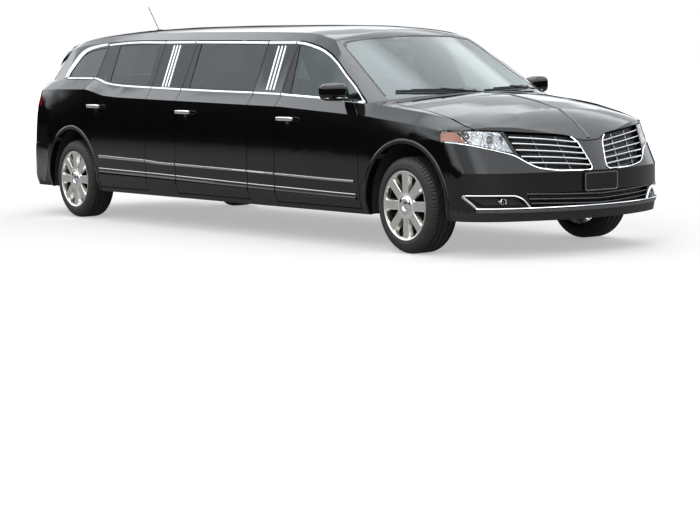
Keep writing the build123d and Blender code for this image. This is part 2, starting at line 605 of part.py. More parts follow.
def build_inside():
    """Dashboard, steering wheel and seats."""
    dash = prism_x([(-2030, 640), (-2030, 1060), (-1800, 1080), (-1660, 1040), (-1640, 900), (-1720, 760), (-1760, 640)], -735, 735)
    save("dashboard", [dash])
    column = Plane(origin=(370, -1560, 985), z_dir=(0, 0.91, 0.41))
    ring = column * Torus(185, 15)
    wheel = ring + (column * Cylinder(52, 36)) + (column * Box(372, 34, 16)) + (column * Pos(0, 0, -45) * Cylinder(24, 60))
    save("steering_wheel", [wheel])
    front = []
    for x in (-370, 370):
        chair = Pos(x, -1260, 200) * seat(520, 470, 260, 860, 90)
        rest = Pos(x, -640, 1165) * Box(250, 90, 150)
        front.append(chair + Pos(x, -640, 1060) * Box(90, 60, 120) + rest)
    save("front_seats", front)
    facing = mirror(seat(1500, 480, 250, 760, 40), about=Plane.XZ)
    save("rear_facing_bench", [Pos(0, 330, 202) * facing])
    save("rear_bench", [Pos(0, 1500, 202) * seat(1260, 480, 250, 780, 60)])
    save("side_bench", [block(560, 818, 380, 1440, 332, 700)])


def build_underside():
    """Axles, knuckles, wheels, subframe, engine, tank and exhaust."""
    save("front_subframe", [
        block(-450, -380, -3380, -2052, 310, 380) + block(380, 450, -3380, -2052, 310, 380)
        + block(-450, 450, -2650, -2500, 310, 355) + block(-450, 450, -3380, -3320, 310, 380)
        + bar((-590, -2574, 333), (590, -2574, 333), 22)
    ])
    save("engine", [block(-330, 330, -3150, -2200, 380, 930)])
    save("radiator", [block(-400, 400, -3402, -3384, 386, 756)])
    beam = drum(-755, 755, REAR_AXLE_Y, HUB_Z - 20, 42) + drum(-110, 110, REAR_AXLE_Y, HUB_Z - 20, 125)
    save("rear_axle", [beam])
    save("fuel_tank", [block(-420, 420, 1350, 1900, 200, 259)])
    for tag, sign in (("right", -1), ("left", 1)):
        save(f"knuckle_{tag}", [
            block(min(sign * 610, sign * 660), max(sign * 610, sign * 660), -2624, -2524, 250, 450)
            + bar((sign * 655, FRONT_AXLE_Y, HUB_Z), (sign * 744, FRONT_AXLE_Y, HUB_Z), 34)
        ])
    ring = tyre()
    disc = rim()
    for axle, y in (("front", FRONT_AXLE_Y), ("rear", REAR_AXLE_Y)):
        for tag, sign in (("right", -1), ("left", 1)):
            save(f"tyre_{axle}_{tag}", [wheel_at(ring, sign * WHEEL_X, y)])
            save(f"rim_{axle}_{tag}", [wheel_at(disc, sign * WHEEL_X, y)])
    pipe = bar((-618, 3100, 333), (-618, 3392, 333), 30)
    mouth = Plane(origin=(-618, 3390, 333), x_dir=(1, 0, 0), z_dir=(0, 1, 0))
    tip = extrude(mouth * Ellipse(50, 37), amount=172) - extrude(mouth.offset(30) * Ellipse(46, 33), amount=160)
    save("exhaust_tips", both(pipe + tip))
    save("wheel_liners", both(liners()[0])[0], both(liners()[0])[1], both(liners()[1])[0], both(liners()[1])[1])
    mast = bar((0, 2400, 1672), (0, 2592, 1898), 3.5) + Pos(0, 2400, 1678) * Cylinder(28, 16)
    save("antenna", [mast])


def main():
    os.makedirs("parts", exist_ok=True)
    lower = side_mass() & plan_mass()
    under_screen = block(-1000, 1000, 3100, 3600, 900, 1101)
    cabin = cabin_mass() - screen(WINDSCREEN, 0, -1500) - screen(REAR_SCREEN, 0, 1500) - under_screen
    outer = lower + cabin
    inner = side_mass(SIDE_WALL, FLOOR_TOP) & plan_mass(SIDE_WALL) & block(-1000, 1000, -2060, 3600, 300, 1400)
    inner += cabin_mass(PILLAR_WALL) - screen(WINDSCREEN, 40, -1500) - screen(REAR_SCREEN, -45, 1500) - under_screen
    half = block(-1200, 0, -4000, 4000, 0, 2000)
    outer_r = outer & half
    lower_r = lower & half
    shell_r = outer_r - inner
    holes = wheel_space()
    build_front(lower_r, holes)
    build_body(lower_r, shell_r, holes)
    build_inside()
    build_underside()


if __name__ == "__main__":
    main()
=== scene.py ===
"""Dresses the stretch limousine: gloss skin, bright trim, lamps, wheels, leather cabin and the studio."""

import json
import math

import bmesh
import bpy
import numpy as np
from bpy.props import FloatProperty, FloatVectorProperty, IntProperty, PointerProperty
from mathutils import Matrix, Vector

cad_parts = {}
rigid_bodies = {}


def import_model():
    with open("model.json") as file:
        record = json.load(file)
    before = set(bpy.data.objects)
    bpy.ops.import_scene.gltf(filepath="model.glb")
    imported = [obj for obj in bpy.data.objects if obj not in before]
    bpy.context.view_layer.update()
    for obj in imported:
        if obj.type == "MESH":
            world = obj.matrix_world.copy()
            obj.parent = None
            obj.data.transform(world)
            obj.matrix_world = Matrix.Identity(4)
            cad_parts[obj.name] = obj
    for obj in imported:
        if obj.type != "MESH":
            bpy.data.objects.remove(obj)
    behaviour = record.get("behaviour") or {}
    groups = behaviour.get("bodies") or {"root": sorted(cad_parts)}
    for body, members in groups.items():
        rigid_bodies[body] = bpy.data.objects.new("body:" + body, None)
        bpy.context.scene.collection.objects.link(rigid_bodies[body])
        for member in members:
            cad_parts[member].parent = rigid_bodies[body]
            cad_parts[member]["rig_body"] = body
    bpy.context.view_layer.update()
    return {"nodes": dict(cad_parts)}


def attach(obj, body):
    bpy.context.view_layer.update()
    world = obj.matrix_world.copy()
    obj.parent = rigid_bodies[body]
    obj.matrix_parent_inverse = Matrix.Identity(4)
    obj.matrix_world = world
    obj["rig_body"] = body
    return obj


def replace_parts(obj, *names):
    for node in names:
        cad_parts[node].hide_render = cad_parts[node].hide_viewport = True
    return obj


bl_info = {
    "name": "Stretch limousine",
    "version": (1, 0, 0),
    "blender": (4, 5, 0),
    "location": "3D View > Sidebar > Limousine",
    "description": "Surfaces, finishes and studio for a stretch limousine",
    "category": "Object",
}

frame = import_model()
NODES = frame["nodes"]

# Side sections of the lower body, in metres, as the solids have them
SIDE = np.array((
    # y, floor_x, sill_x, wide_x, crease_x, crease_z, belt_x, belt_z, top_z
    (-3.660, 0.860, 0.880, 0.880, 0.760, 0.790, 0.560, 0.800, 0.690),
    (-3.530, 0.868, 0.892, 0.892, 0.780, 0.826, 0.600, 0.845, 0.798),
    (-3.440, 0.875, 0.900, 0.900, 0.800, 0.846, 0.640, 0.870, 0.872),
    (-3.335, 0.882, 0.908, 0.908, 0.832, 0.866, 0.690, 0.896, 0.948),
    (-3.200, 0.890, 0.916, 0.918, 0.864, 0.878, 0.730, 0.930, 1.018),
    (-2.975, 0.902, 0.930, 0.934, 0.893, 0.889, 0.790, 0.972, 1.070),
    (-2.676, 0.918, 0.946, 0.952, 0.928, 0.934, 0.842, 1.020, 1.116),
    (-2.150, 0.926, 0.956, 0.963, 0.945, 0.985, 0.884, 1.075, 1.152),
    (-1.000, 0.928, 0.958, 0.965, 0.947, 1.044, 0.886, 1.127, 1.180),
    (0.600, 0.928, 0.958, 0.965, 0.947, 1.076, 0.886, 1.160, 1.210),
    (1.560, 0.928, 0.958, 0.965, 0.947, 1.096, 0.882, 1.186, 1.240),
    (1.820, 0.928, 0.958, 0.965, 0.946, 1.110, 0.874, 1.200, 1.250),
    (2.000, 0.928, 0.958, 0.965, 0.944, 1.142, 0.862, 1.232, 1.270),
    (2.140, 0.928, 0.957, 0.964, 0.940, 1.163, 0.850, 1.250, 1.290),
    (2.700, 0.922, 0.950, 0.955, 0.912, 1.160, 0.806, 1.250, 1.290),
    (3.100, 0.905, 0.932, 0.934, 0.862, 1.150, 0.740, 1.240, 1.285),
    (3.400, 0.880, 0.905, 0.906, 0.800, 1.140, 0.670, 1.205, 1.240),
    (3.680, 0.850, 0.875, 0.876, 0.740, 1.120, 0.600, 1.150, 1.180),
))
SILL_Z = 0.372
# Nose and tail of the plan outlines up the height
PLAN = np.array((
    # z, nose_y, tail_y
    (0.200, -3.560, 3.540), (0.262, -3.604, 3.575), (0.345, -3.625, 3.634), (0.600, -3.627, 3.627),
    (0.660, -3.594, 3.612), (0.811, -3.512, 3.592), (0.915, -3.462, 3.570), (1.012, -3.420, 3.540),
    (1.140, -3.380, 3.462), (1.262, -3.340, 3.340), (1.330, -3.320, 3.270),
))
# Cabin sections
CABIN = np.array((
    # y, foot_x, foot_z, rail_x, rail_z, gutter_x, gutter_z
    (-2.330, 0.905, 0.940, 0.890, 1.000, 0.800, 1.060), (-2.080, 0.900, 1.025, 0.872, 1.085, 0.775, 1.168),
    (-1.854, 0.893, 1.060, 0.822, 1.206, 0.720, 1.300), (-1.542, 0.903, 1.060, 0.762, 1.384, 0.668, 1.474),
    (-1.332, 0.907, 1.060, 0.730, 1.470, 0.648, 1.552), (-1.130, 0.911, 1.060, 0.718, 1.520, 0.643, 1.594),
    (-0.900, 0.915, 1.060, 0.714, 1.546, 0.641, 1.612), (-0.300, 0.920, 1.060, 0.713, 1.562, 0.641, 1.628),
    (0.700, 0.928, 1.060, 0.712, 1.578, 0.641, 1.642), (1.500, 0.935, 1.060, 0.712, 1.586, 0.640, 1.645),
    (2.100, 0.939, 1.060, 0.704, 1.574, 0.634, 1.634), (2.500, 0.908, 1.060, 0.684, 1.556, 0.616, 1.612),
    (2.760, 0.890, 1.060, 0.662, 1.538, 0.598, 1.586), (3.400, 0.729, 1.060, 0.575, 1.440, 0.520, 1.480),
))
# Stretches of the right side along y: what carries the trim there
STRETCHES = (
    # body, first y, last y at the sill, last y at the roof
    ("door_front", -2.036, -0.935, -0.935), ("body", -0.920, -0.541, -0.541), ("door_middle", -0.526, 0.568, 0.568),
    ("body", 0.583, 1.064, 1.064), ("door_rear", 1.074, 1.900, 2.062), ("body", 2.150, 2.150, 2.720),
)
# Corners of the plan outline: half-width against the distance behind the nose's middle, and ahead of the tail's middle
NOSE_BEND = np.array((
    (0.66, 0.174), (0.70, 0.201), (0.74, 0.231), (0.78, 0.267), (0.826, 0.322), (0.86, 0.379), (0.89, 0.455),
    (0.912, 0.560), (0.985, 1.300),
))
TAIL_BEND = np.array((
    (0.76, 0.178), (0.78, 0.1992), (0.80, 0.2237), (0.82, 0.2523), (0.84, 0.2870), (0.855, 0.3191), (0.87, 0.3608),
    (0.88, 0.4003), (0.885, 0.430), (0.985, 0.900),
))
HUBS = {"front": -2.574, "rear": 2.402}
HUB_Z = 0.350
WHEEL_X = 0.822
DOORS = ("door_front", "door_middle", "door_rear")
# Door handles: y and z
HANDLES = np.array(((-1.118, 0.952), (0.400, 0.984), (1.925, 1.016)))


def length(name, description, default):
    """A length that the user can set."""
    return FloatProperty(name=name, description=description, default=default, unit="LENGTH")


def count(name, description, default, low, high):
    """A number of things that the user can set."""
    return IntProperty(name=name, description=description, default=default, min=low, max=high)


def colour(name, description, default):
    """A colour that the user can set."""
    return FloatVectorProperty(name=name, description=description, subtype="COLOR", size=3, default=default)


class LimousineSizes(bpy.types.PropertyGroup):
    """Sizes of the trim and wheels."""

    frame_width: length("Window frame trim", "Height of the bright strip over the windows", 0.020)
    belt_width: length("Belt trim", "Height of the bright strip under the windows", 0.021)
    trim_proud: length("Trim proud", "How far bright trim stands off the skin", 0.005)
    slat_width: length("Slat width", "Width of one bright slat on the fixed panels", 0.018)
    spoke_width: length("Spoke width", "Width of a wheel spoke", 0.068)
    spokes: count("Spokes", "Spokes on each wheel", 8, 5, 12)
    tread_blocks: count("Tread blocks", "Shoulder blocks round a tyre", 72, 36, 96)
    grille_bars: count("Grille bars", "Bright bars in each half of the grille", 5, 3, 5)


class LimousineColours(bpy.types.PropertyGroup):
    """Colours of the finishes."""

    paint: colour("Paint", "Gloss body paint", (0.0035, 0.0035, 0.004))
    leather: colour("Leather", "Leather of the seats and the steering wheel", (0.018, 0.018, 0.020))
    privacy: colour("Privacy glass", "Tint of the passenger windows", (0.10, 0.11, 0.12))
    screen: colour("Screen glass", "Tint of the windscreen and front windows", (0.34, 0.42, 0.40))
    lens: colour("Red lens", "Rear lamp lenses", (0.50, 0.004, 0.018))


# Shapes


def cols(*values):
    """Arrays or numbers side by side along a new last axis."""
    return np.stack(np.broadcast_arrays(*values), -1)


def unit(v):
    """Vectors along the last axis brought to length one."""
    return v / np.linalg.norm(v, axis=-1, keepdims=True)


def row(table, t):
    """Each column of a table at t, by straight lines between its rows."""
    return [np.interp(t, table[:, 0], table[:, k]) for k in range(1, table.shape[1])]


def arc_at(z, a, b, c):
    """x on the circle through three (x, z) points, at height z: centre from the perpendicular bisectors."""
    (ax, az), (bx, bz), (cx, cz) = a, b, c
    d = 2 * (ax * (bz - cz) + bx * (cz - az) + cx * (az - bz))
    a2, b2, c2 = ax**2 + az**2, bx**2 + bz**2, cx**2 + cz**2
    ux = (a2 * (bz - cz) + b2 * (cz - az) + c2 * (az - bz)) / d
    uz = (a2 * (cx - bx) + b2 * (ax - cx) + c2 * (bx - ax)) / d
    r2 = (ax - ux) ** 2 + (az - uz) ** 2
    return ux + np.sqrt(np.maximum(r2 - (z - uz) ** 2, 0))


def plan_x(y, z):
    """Half-width that the plan outline leaves at (y, z), by its nose corner ahead and its tail corner behind."""
    nose, tail = row(PLAN, z)
    return np.minimum(
        np.interp(y - nose, NOSE_BEND[:, 1], NOSE_BEND[:, 0]), np.interp(tail - y, TAIL_BEND[:, 1], TAIL_BEND[:, 0])
    )


def flank_x(y, z):
    """Half-width of the car at (y, z): sill slope, then an arc to the shoulder crease, the facet to the belt, all
    inside the plan outline, and the cabin's wall above."""
    floor_x, sill_x, wide_x, crease_x, crease_z, belt_x, belt_z, _ = row(SIDE, y)
    foot_x, foot_z, rail_x, rail_z, gutter_x, gutter_z = row(CABIN, y)
    low = floor_x + (sill_x - floor_x) * (z - 0.262) / (SILL_Z - 0.262)
    arc = arc_at(z, (sill_x, SILL_Z), (wide_x, 0.5 * (SILL_Z + crease_z) + 0.02), (crease_x, crease_z))
    facet = crease_x + (belt_x - crease_x) * (z - crease_z) / (belt_z - crease_z)
    wall = foot_x + (rail_x - foot_x) * (z - foot_z) / (rail_z - foot_z)
    eave = rail_x + (gutter_x - rail_x) * (z - rail_z) / (gutter_z - rail_z)
    body = np.where(z < SILL_Z, low, np.where(z < crease_z, arc, np.where(z < belt_z, facet, 0)))
    body = np.minimum(body, plan_x(y, z))
    return np.maximum(body, np.where(z < rail_z, wall, eave) * (z > foot_z))


def circle_drop(x, w, h):
    """How far a circular arc of half-chord w and rise h falls behind its middle at x."""
    rise = np.maximum(np.abs(h), 1e-6)
    r = (w * w + rise * rise) / (2 * rise)
    return np.sign(h) * (r - np.sqrt(np.maximum(r * r - x * x, 0)))


def end_y(x, z, end, bend):
    """y of an end of the car at (x, z): a shallow arc over its middle, then a tighter one round the corner."""
    x, (half, drop) = np.abs(x), bend[0]
    fall = np.where(x < half, circle_drop(x, half, drop), row(bend, x)[0])
    return row(PLAN, z)[end] + (fall if end == 0 else -fall)


def bonnet_z(x, y):
    """The bonnet's height at (x, y): an arc over the belt lines of both sides."""
    belt_x, belt_z, top_z = row(SIDE, y)[5:]
    return top_z - circle_drop(x, belt_x, top_z - belt_z)


def screen_y(x, z):
    """The windscreen's y at (x, z): bowed across, leaning back as it rises."""
    return -2.588 + (z - 1.0) / 0.72 * 1.39 + circle_drop(x, 1.0, 0.52)


def gate_glass_y(x, z):
    """The rear glass's y at (x, z): bowed across, leaning forward as it rises."""
    return 3.496 - (z - 1.1) / 0.6 * 0.615 - circle_drop(x, 0.9, 0.30 + (z - 1.1) / 0.6 * 0.065)


def layer(height, order, outward, side=1, step=0.003):
    """A way to lay points (a, b) on a surface c = height(a, b), moved out by proud along its normal, which comes from
    differences of height. Order puts a, b and c as x, y and z; outward is the sign of the normal's c, and a counts
    towards side."""

    def put(a, b, proud=0.0):
        a = side * np.asarray(a, float)
        da = (height(a + step, b) - height(a - step, b)) / (2 * step)
        db = (height(a, b + step) - height(a, b - step)) / (2 * step)
        p = cols(a, b, height(a, b)) + unit(cols(-da, -db, 1.0) * outward) * np.asarray(proud)[..., None]
        return p[..., order]

    return put


def nose_y(x, z):
    """The nose's y at (x, z)."""
    return end_y(x, z, 0, NOSE_BEND)


def tail_y(x, z):
    """The tail's y at (x, z)."""
    return end_y(x, z, 1, TAIL_BEND)


FLAT, UPRIGHT, SIDEWAYS = (0, 1, 2), (0, 2, 1), (2, 0, 1)
flank = layer(lambda y, z: -flank_x(y, z), SIDEWAYS, -1, step=0.004)
on_nose, right_nose = layer(nose_y, UPRIGHT, -1), layer(nose_y, UPRIGHT, -1, -1)
right_tail = layer(tail_y, UPRIGHT, 1, -1)
on_bonnet = layer(bonnet_z, FLAT, 1)
on_screen = layer(screen_y, UPRIGHT, -1)
on_gate_glass = layer(gate_glass_y, UPRIGHT, 1)


def lattice(points, wrap=True):
    """Vertices and faces of a grid of points [along, around]; around may close on itself, and then the ends get one
    face each."""
    n, k = points.shape[:2]
    i, j = np.meshgrid(np.arange(n - 1), np.arange(k if wrap else k - 1), indexing="ij")
    a, b = i * k + j, i * k + (j + 1) % k
    quads = cols(a, b, b + k, a + k).reshape(-1, 4).tolist()
    if wrap:
        quads += [list(range(k))[::-1], list(range((n - 1) * k, n * k))]
    return points.reshape(-1, 3), quads


def ring(points):
    """Vertices and faces of a grid that closes both ways."""
    n, k = points.shape[:2]
    i, j = np.meshgrid(np.arange(n), np.arange(k), indexing="ij")
    ahead, aside = (i + 1) % n, (j + 1) % k
    quads = cols(i * k + j, i * k + aside, ahead * k + aside, ahead * k + j)
    return points.reshape(-1, 3), quads.reshape(-1, 4).tolist()


def joined(*parts):
    """Several (vertices, faces) as one."""
    verts, faces, base = [], [], 0
    for v, f in parts:
        verts.append(np.asarray(v, float))
        faces += [[i + base for i in face] for face in f]
        base += len(v)
    return np.concatenate(verts), faces


def mirrored(part):
    """The same shape on the other side."""
    v, f = part
    return v * (-1, 1, 1), [face[::-1] for face in f]


def as_is(part):
    """The same shape."""
    return part


def both(part):
    """A right-hand shape with its mirror image."""
    return joined(part, mirrored(part))


def moved(part, shift):
    """A shape moved."""
    return part[0] + np.asarray(shift), part[1]


def resample(points, step):
    """Points at an even step along a line through the given ones."""
    points = np.asarray(points, float)
    run = np.concatenate(([0], np.cumsum(np.linalg.norm(np.diff(points, axis=0), axis=1))))
    t = np.linspace(0, run[-1], max(2, int(run[-1] / step) + 1))
    return cols(*(np.interp(t, run, column) for column in points.T))


def counted(line, n):
    """n points along a line, spaced evenly by the line's own points."""
    share = np.linspace(0, 1, len(line))
    return cols(*(np.interp(np.linspace(0, 1, n), share, column) for column in line.T))


def smooth_line(points, step, rounds=3):
    """Even points along a line whose corners are rounded by averaging neighbours a few times."""
    line = resample(points, step)
    for _ in range(rounds):
        line[1:-1] = 0.25 * line[:-2] + 0.5 * line[1:-1] + 0.25 * line[2:]
    return line


def sweep(path, profile, up=(0, 0, 1)):
    """Carries a closed profile of (across, up) points, one for all or one at each point, along a path: across =
    tangent x up, and up is squared to both."""
    path, profile = np.asarray(path, float), np.asarray(profile, float)
    ahead = unit(np.gradient(path, axis=0))
    across = unit(np.cross(ahead, np.broadcast_to(np.asarray(up, float), path.shape)))
    top = np.cross(across, ahead)
    return lattice(path[:, None] + profile[..., :1] * across[:, None] + profile[..., 1:] * top[:, None])


def rounded(width, height, radius, steps=4):
    """Profile of a rectangle with round corners, each a quarter turn."""
    radius = min(radius, width / 2.001, height / 2.001)
    turn = np.linspace(0, math.pi / 2, steps)
    out = []
    for quarter, (cx, cz) in enumerate(((1, 1), (-1, 1), (-1, -1), (1, -1))):
        t = turn + quarter * math.pi / 2
        x, z = cx * (width / 2 - radius) + radius * np.cos(t), cz * (height / 2 - radius) + radius * np.sin(t)
        out.append(cols(x, z))
    return np.concatenate(out)


def turned(profile, n=96, centre=(0, 0, 0), axis="x"):
    """A profile of (along, radius) points turned about an axis; a radius of nought makes a pole."""
    profile = np.asarray(profile, float)
    t = np.linspace(0, 2 * math.pi, n, endpoint=False)[:, None]
    order = {"x": (0, 1, 2), "y": (1, 0, 2), "z": (1, 2, 0)}[axis]
    p = cols(profile[:, 0], profile[:, 1] * np.cos(t), profile[:, 1] * np.sin(t))[..., order]
    closed = np.allclose(profile[0], profile[-1])
    return moved(ring(p[:, :-1]) if closed else lattice(np.concatenate((p, p[:1])), wrap=False), centre)


def spread(top, bottom, share, height, put):
    """A grid laid by put between two lines of (a, b) points, at shares of the way across and heights off the skin."""
    share = share[:, None]
    mid = np.asarray(top, float)[:, None] * (1 - share) + np.asarray(bottom, float)[:, None] * share
    return lattice(put(mid[..., 0], mid[..., 1], height[None, :]))


def strip(top, bottom, proud, put, crown=1.35):
    """A trim strip between two lines: the edges lie just under the skin, the face is proud and its middle crowned."""
    share = np.array((0.0, 0.0, 0.12, 0.5, 0.88, 1.0, 1.0))
    return spread(top, bottom, share, np.array((-1.0, 0.2, 1.0, crown, 1.0, 0.2, -1.0)) * proud, put)


def roll(top, bottom, proud, put):
    """A soft swelling between two lines: its height is proud times the root of a half sine wave across."""
    share = np.linspace(0, 1, 11)
    height = proud * np.sqrt(np.sin(math.pi * share)) - 0.002
    height[[0, -1]] = -0.006
    return spread(top, bottom, share, height, put)


def offset_line(line, width):
    """A line moved sideways by width, square to its run."""
    run = unit(np.gradient(line, axis=0))
    return line + cols(run[:, 1], -run[:, 0]) * np.asarray(width).reshape(-1, 1)


def ribbon(line, width, proud, put, crown=1.3, step=0.02, rounds=2):
    """A trim strip of one width along a line of (a, b) points with its corners rounded."""
    line = smooth_line(line, step, rounds)
    return strip(offset_line(line, -width / 2), offset_line(line, width / 2), proud, put, crown)


def region(low, high, xs, shares, put, depth):
    """A grid between a lower and an upper line of (x, z) points, sunk by depth(x, share of the height)."""
    low, high = np.asarray(low, float), np.asarray(high, float)
    x, s = np.meshgrid(xs, shares, indexing="ij")
    z = np.interp(x, low[:, 0], low[:, 1]) * (1 - s) + np.interp(x, high[:, 0], high[:, 1]) * s
    return lattice(put(x, z, -depth(x, s)), wrap=False)


def box_of(width, length_y, height, radius, centre, steps=3):
    """A block with rounded upright edges and bevelled ends: rounded outlines stacked up z."""
    rim, half = min(radius, height / 2.2), height / 2
    levels = ((half, -rim * 0.7), (half - rim * 0.3, -rim * 0.2), (half - rim, 0))
    levels = [(-z, grow) for z, grow in levels] + list(levels[::-1])
    rows = [cols(*rounded(width + 2 * grow, length_y + 2 * grow, radius, steps).T, z) for z, grow in levels]
    return moved(lattice(np.stack(rows)), centre)


def blade(path, width, height, up=(0, 0, 1)):
    """A slim rounded bar along a path."""
    return sweep(path, rounded(width, height, min(width, height) * 0.4, 3), up)


def cut_line(line, start, end):
    """The part of a line whose first coordinate lies between two values."""
    t = line[:, 0]
    t = np.unique(np.concatenate(([start, end], t[(t > start) & (t < end)])))
    return cols(t, *row(line, t))


# Finishes

PAINT, CHROME, ALLOY, PLASTIC = "gloss_black_paint", "bright_chrome", "polished_alloy", "grained_black_plastic"
LEATHER, RED_LENS, SILVER, DARK_TRIM = "black_leather", "red_lens", "silver_trim", "satin_dark_trim"
LOOKS = {
    # finish: slot, colour or the property that holds it, worn colour or its share of the colour, roughness, metal
    PAINT: ("paint", "paint", None, 0.06, 0),
    LEATHER: ("leather", "leather", 1.9, 0.40, 0),
    RED_LENS: ("lamp_red", "lens", (0.85, 1, 1), 0.09, 0),
    "privacy_glass": ("glass", "privacy", 0.92, 0.004, 0),
    "screen_glass": ("glass", "screen", 0.92, 0.004, 0),
    CHROME: ("chrome", (0.86, 0.87, 0.88), (0.76, 0.77, 0.79), 0.07, 1),
    ALLOY: ("bright_alloy", (0.90, 0.88, 0.84), (0.82, 0.80, 0.76), 0.30, 1),
    PLASTIC: ("dark_plastic", (0.012, 0.012, 0.013), (0.020, 0.020, 0.021), 0.48, 0),
    "tyre_rubber": ("tyre", (0.013, 0.0128, 0.0125), (0.026, 0.025, 0.0235), 0.62, 0),
    "cabin_carpet": ("leather", (0.020, 0.020, 0.022), (0.034, 0.034, 0.036), 0.95, 0),
    "underbody_sealer": ("underbody", (0.016, 0.016, 0.017), (0.035, 0.033, 0.030), 0.7, 0),
    "running_gear_steel": ("iron", (0.10, 0.10, 0.105), (0.16, 0.14, 0.12), 0.5, 0.7),
    "satin_moulding": ("chrome", (0.62, 0.62, 0.62), (0.54, 0.54, 0.55), 0.24, 1),
    DARK_TRIM: ("chrome", (0.16, 0.165, 0.17), (0.22, 0.22, 0.23), 0.28, 0.9),
    "clear_lens": ("lamp_clear", (0.96, 0.97, 0.98), (0.90, 0.92, 0.93), 0.01, 0),
    "lamp_reflector": ("chrome", (0.82, 0.84, 0.86), (0.66, 0.68, 0.71), 0.13, 1),
    "projector_glass": ("lamp_clear", (0.10, 0.115, 0.13), (0.17, 0.19, 0.21), 0.05, 0),
    "amber_lens": ("lamp_clear", (0.50, 0.17, 0.09), (0.66, 0.29, 0.18), 0.14, 0),
    "plate_rim": ("dark_plastic", (0.20, 0.20, 0.21), None, 0.4, 0.3),
    "blank_plate": ("dark_plastic", (0.006, 0.006, 0.007), None, 0.3, 0),
    "mirror_silver": ("chrome", (0.90, 0.91, 0.92), None, 0.015, 1),
    "sooty_steel": ("iron", (0.03, 0.028, 0.026), None, 0.7, 0.4),
    # Near-black rim barrel, brake disc and hub: painted shade inside the wheel, darker than their own metal
    "wheel_well_iron": ("iron", (0.02, 0.02, 0.021), None, 0.5, 0.5),
    SILVER: ("bright_alloy", (0.42, 0.43, 0.44), (0.34, 0.35, 0.36), 0.34, 0.7),
    "door_reflector": ("lamp_red", (0.42, 0.02, 0.02), None, 0.15, 0),
    "dark_screen": ("dark_glass", (0.010, 0.011, 0.013), None, 0.08, 0),
}
# Noise scale and how far the roughness spreads, for finishes that differ from the plain ones
PLAIN_GRAIN = (30.0, 0.06)
GRAINS = {
    PAINT: (9.0, 0.02), LEATHER: (12.0, 0.07), RED_LENS: (40.0, 0.03), "privacy_glass": (3.0, 0.004),
    "screen_glass": (3.0, 0.004), CHROME: (14.0, 0.03), ALLOY: (22.0, 0.05), PLASTIC: (26.0, 0.06),
    "tyre_rubber": (18.0, 0.06), "cabin_carpet": (60.0, 0.06), "underbody_sealer": (12.0, 0.06),
    "running_gear_steel": (20.0, 0.06), "satin_moulding": (20.0, 0.06), DARK_TRIM: (24.0, 0.06),
    "clear_lens": (5.0, 0.006), "lamp_reflector": (60.0, 0.06), "projector_glass": (20.0, 0.02),
    "amber_lens": (70.0, 0.06), "blank_plate": (40.0, 0.06), "mirror_silver": (4.0, 0.01), SILVER: (24.0, 0.06),
    "door_reflector": (60.0, 0.06), "dark_screen": (20.0, 0.06),
}
# Height of the bump in metres, and its noise scale
BUMPS = {
    LEATHER: (0.0005, 500.0), ALLOY: (0.0001, 260.0), PLASTIC: (0.0004, 700.0), "tyre_rubber": (0.0006, 180.0),
    "cabin_carpet": (0.002, 520.0), "underbody_sealer": (0.001, 120.0), "running_gear_steel": (0.0008, 240.0),
    "amber_lens": (0.0006, 160.0), "blank_plate": (0.0002, 400.0), SILVER: (0.0002, 400.0),
}
# What else the shader takes
GLASS = {"Transmission Weight": 1.0, "IOR": 1.57, "Specular Tint": (0.88, 1.0, 1.02, 1)}
SOCKETS = {
    LEATHER: {"Sheen Weight": 0.15}, RED_LENS: {"Specular IOR Level": 0.35}, "privacy_glass": GLASS,
    "screen_glass": GLASS, "cabin_carpet": {"Sheen Weight": 0.3},
    "clear_lens": {"Transmission Weight": 1.0, "IOR": 1.38}, "projector_glass": {"Coat Weight": 1.0},
    "amber_lens": {"Coat Weight": 0.6}, "door_reflector": {"Coat Weight": 0.6}, "dark_screen": {"Coat Weight": 0.5},
}


def feed(t, n, inputs):
    """Sets a node's inputs, by name or place: a socket is linked, anything else is the value."""
    for key, value in dict(inputs).items():
        if isinstance(value, bpy.types.NodeSocket):
            t.links.new(value, n.inputs[key])
        else:
            n.inputs[key].default_value = value


def node(t, kind, out, inputs=(), **settings):
    """Adds a shader node and gives one of its outputs."""
    n = t.nodes.new("ShaderNode" + kind)
    for key, value in settings.items():
        setattr(n, key, value)
    feed(t, n, inputs)
    return n.outputs[out]


def maths(t, operation, *values):
    """The result of one arithmetic node."""
    return node(t, "Math", "Value", enumerate(values), operation=operation)


def blend(t, share, a, b):
    """Colour a turning into colour b by share."""
    return node(t, "Mix", "Result", {"Factor": share, "A": a, "B": b}, data_type="RGBA")


def ranged(t, value, inputs):
    """A value mapped from one range to another."""
    return node(t, "MapRange", "Result", {"Value": value, **inputs})


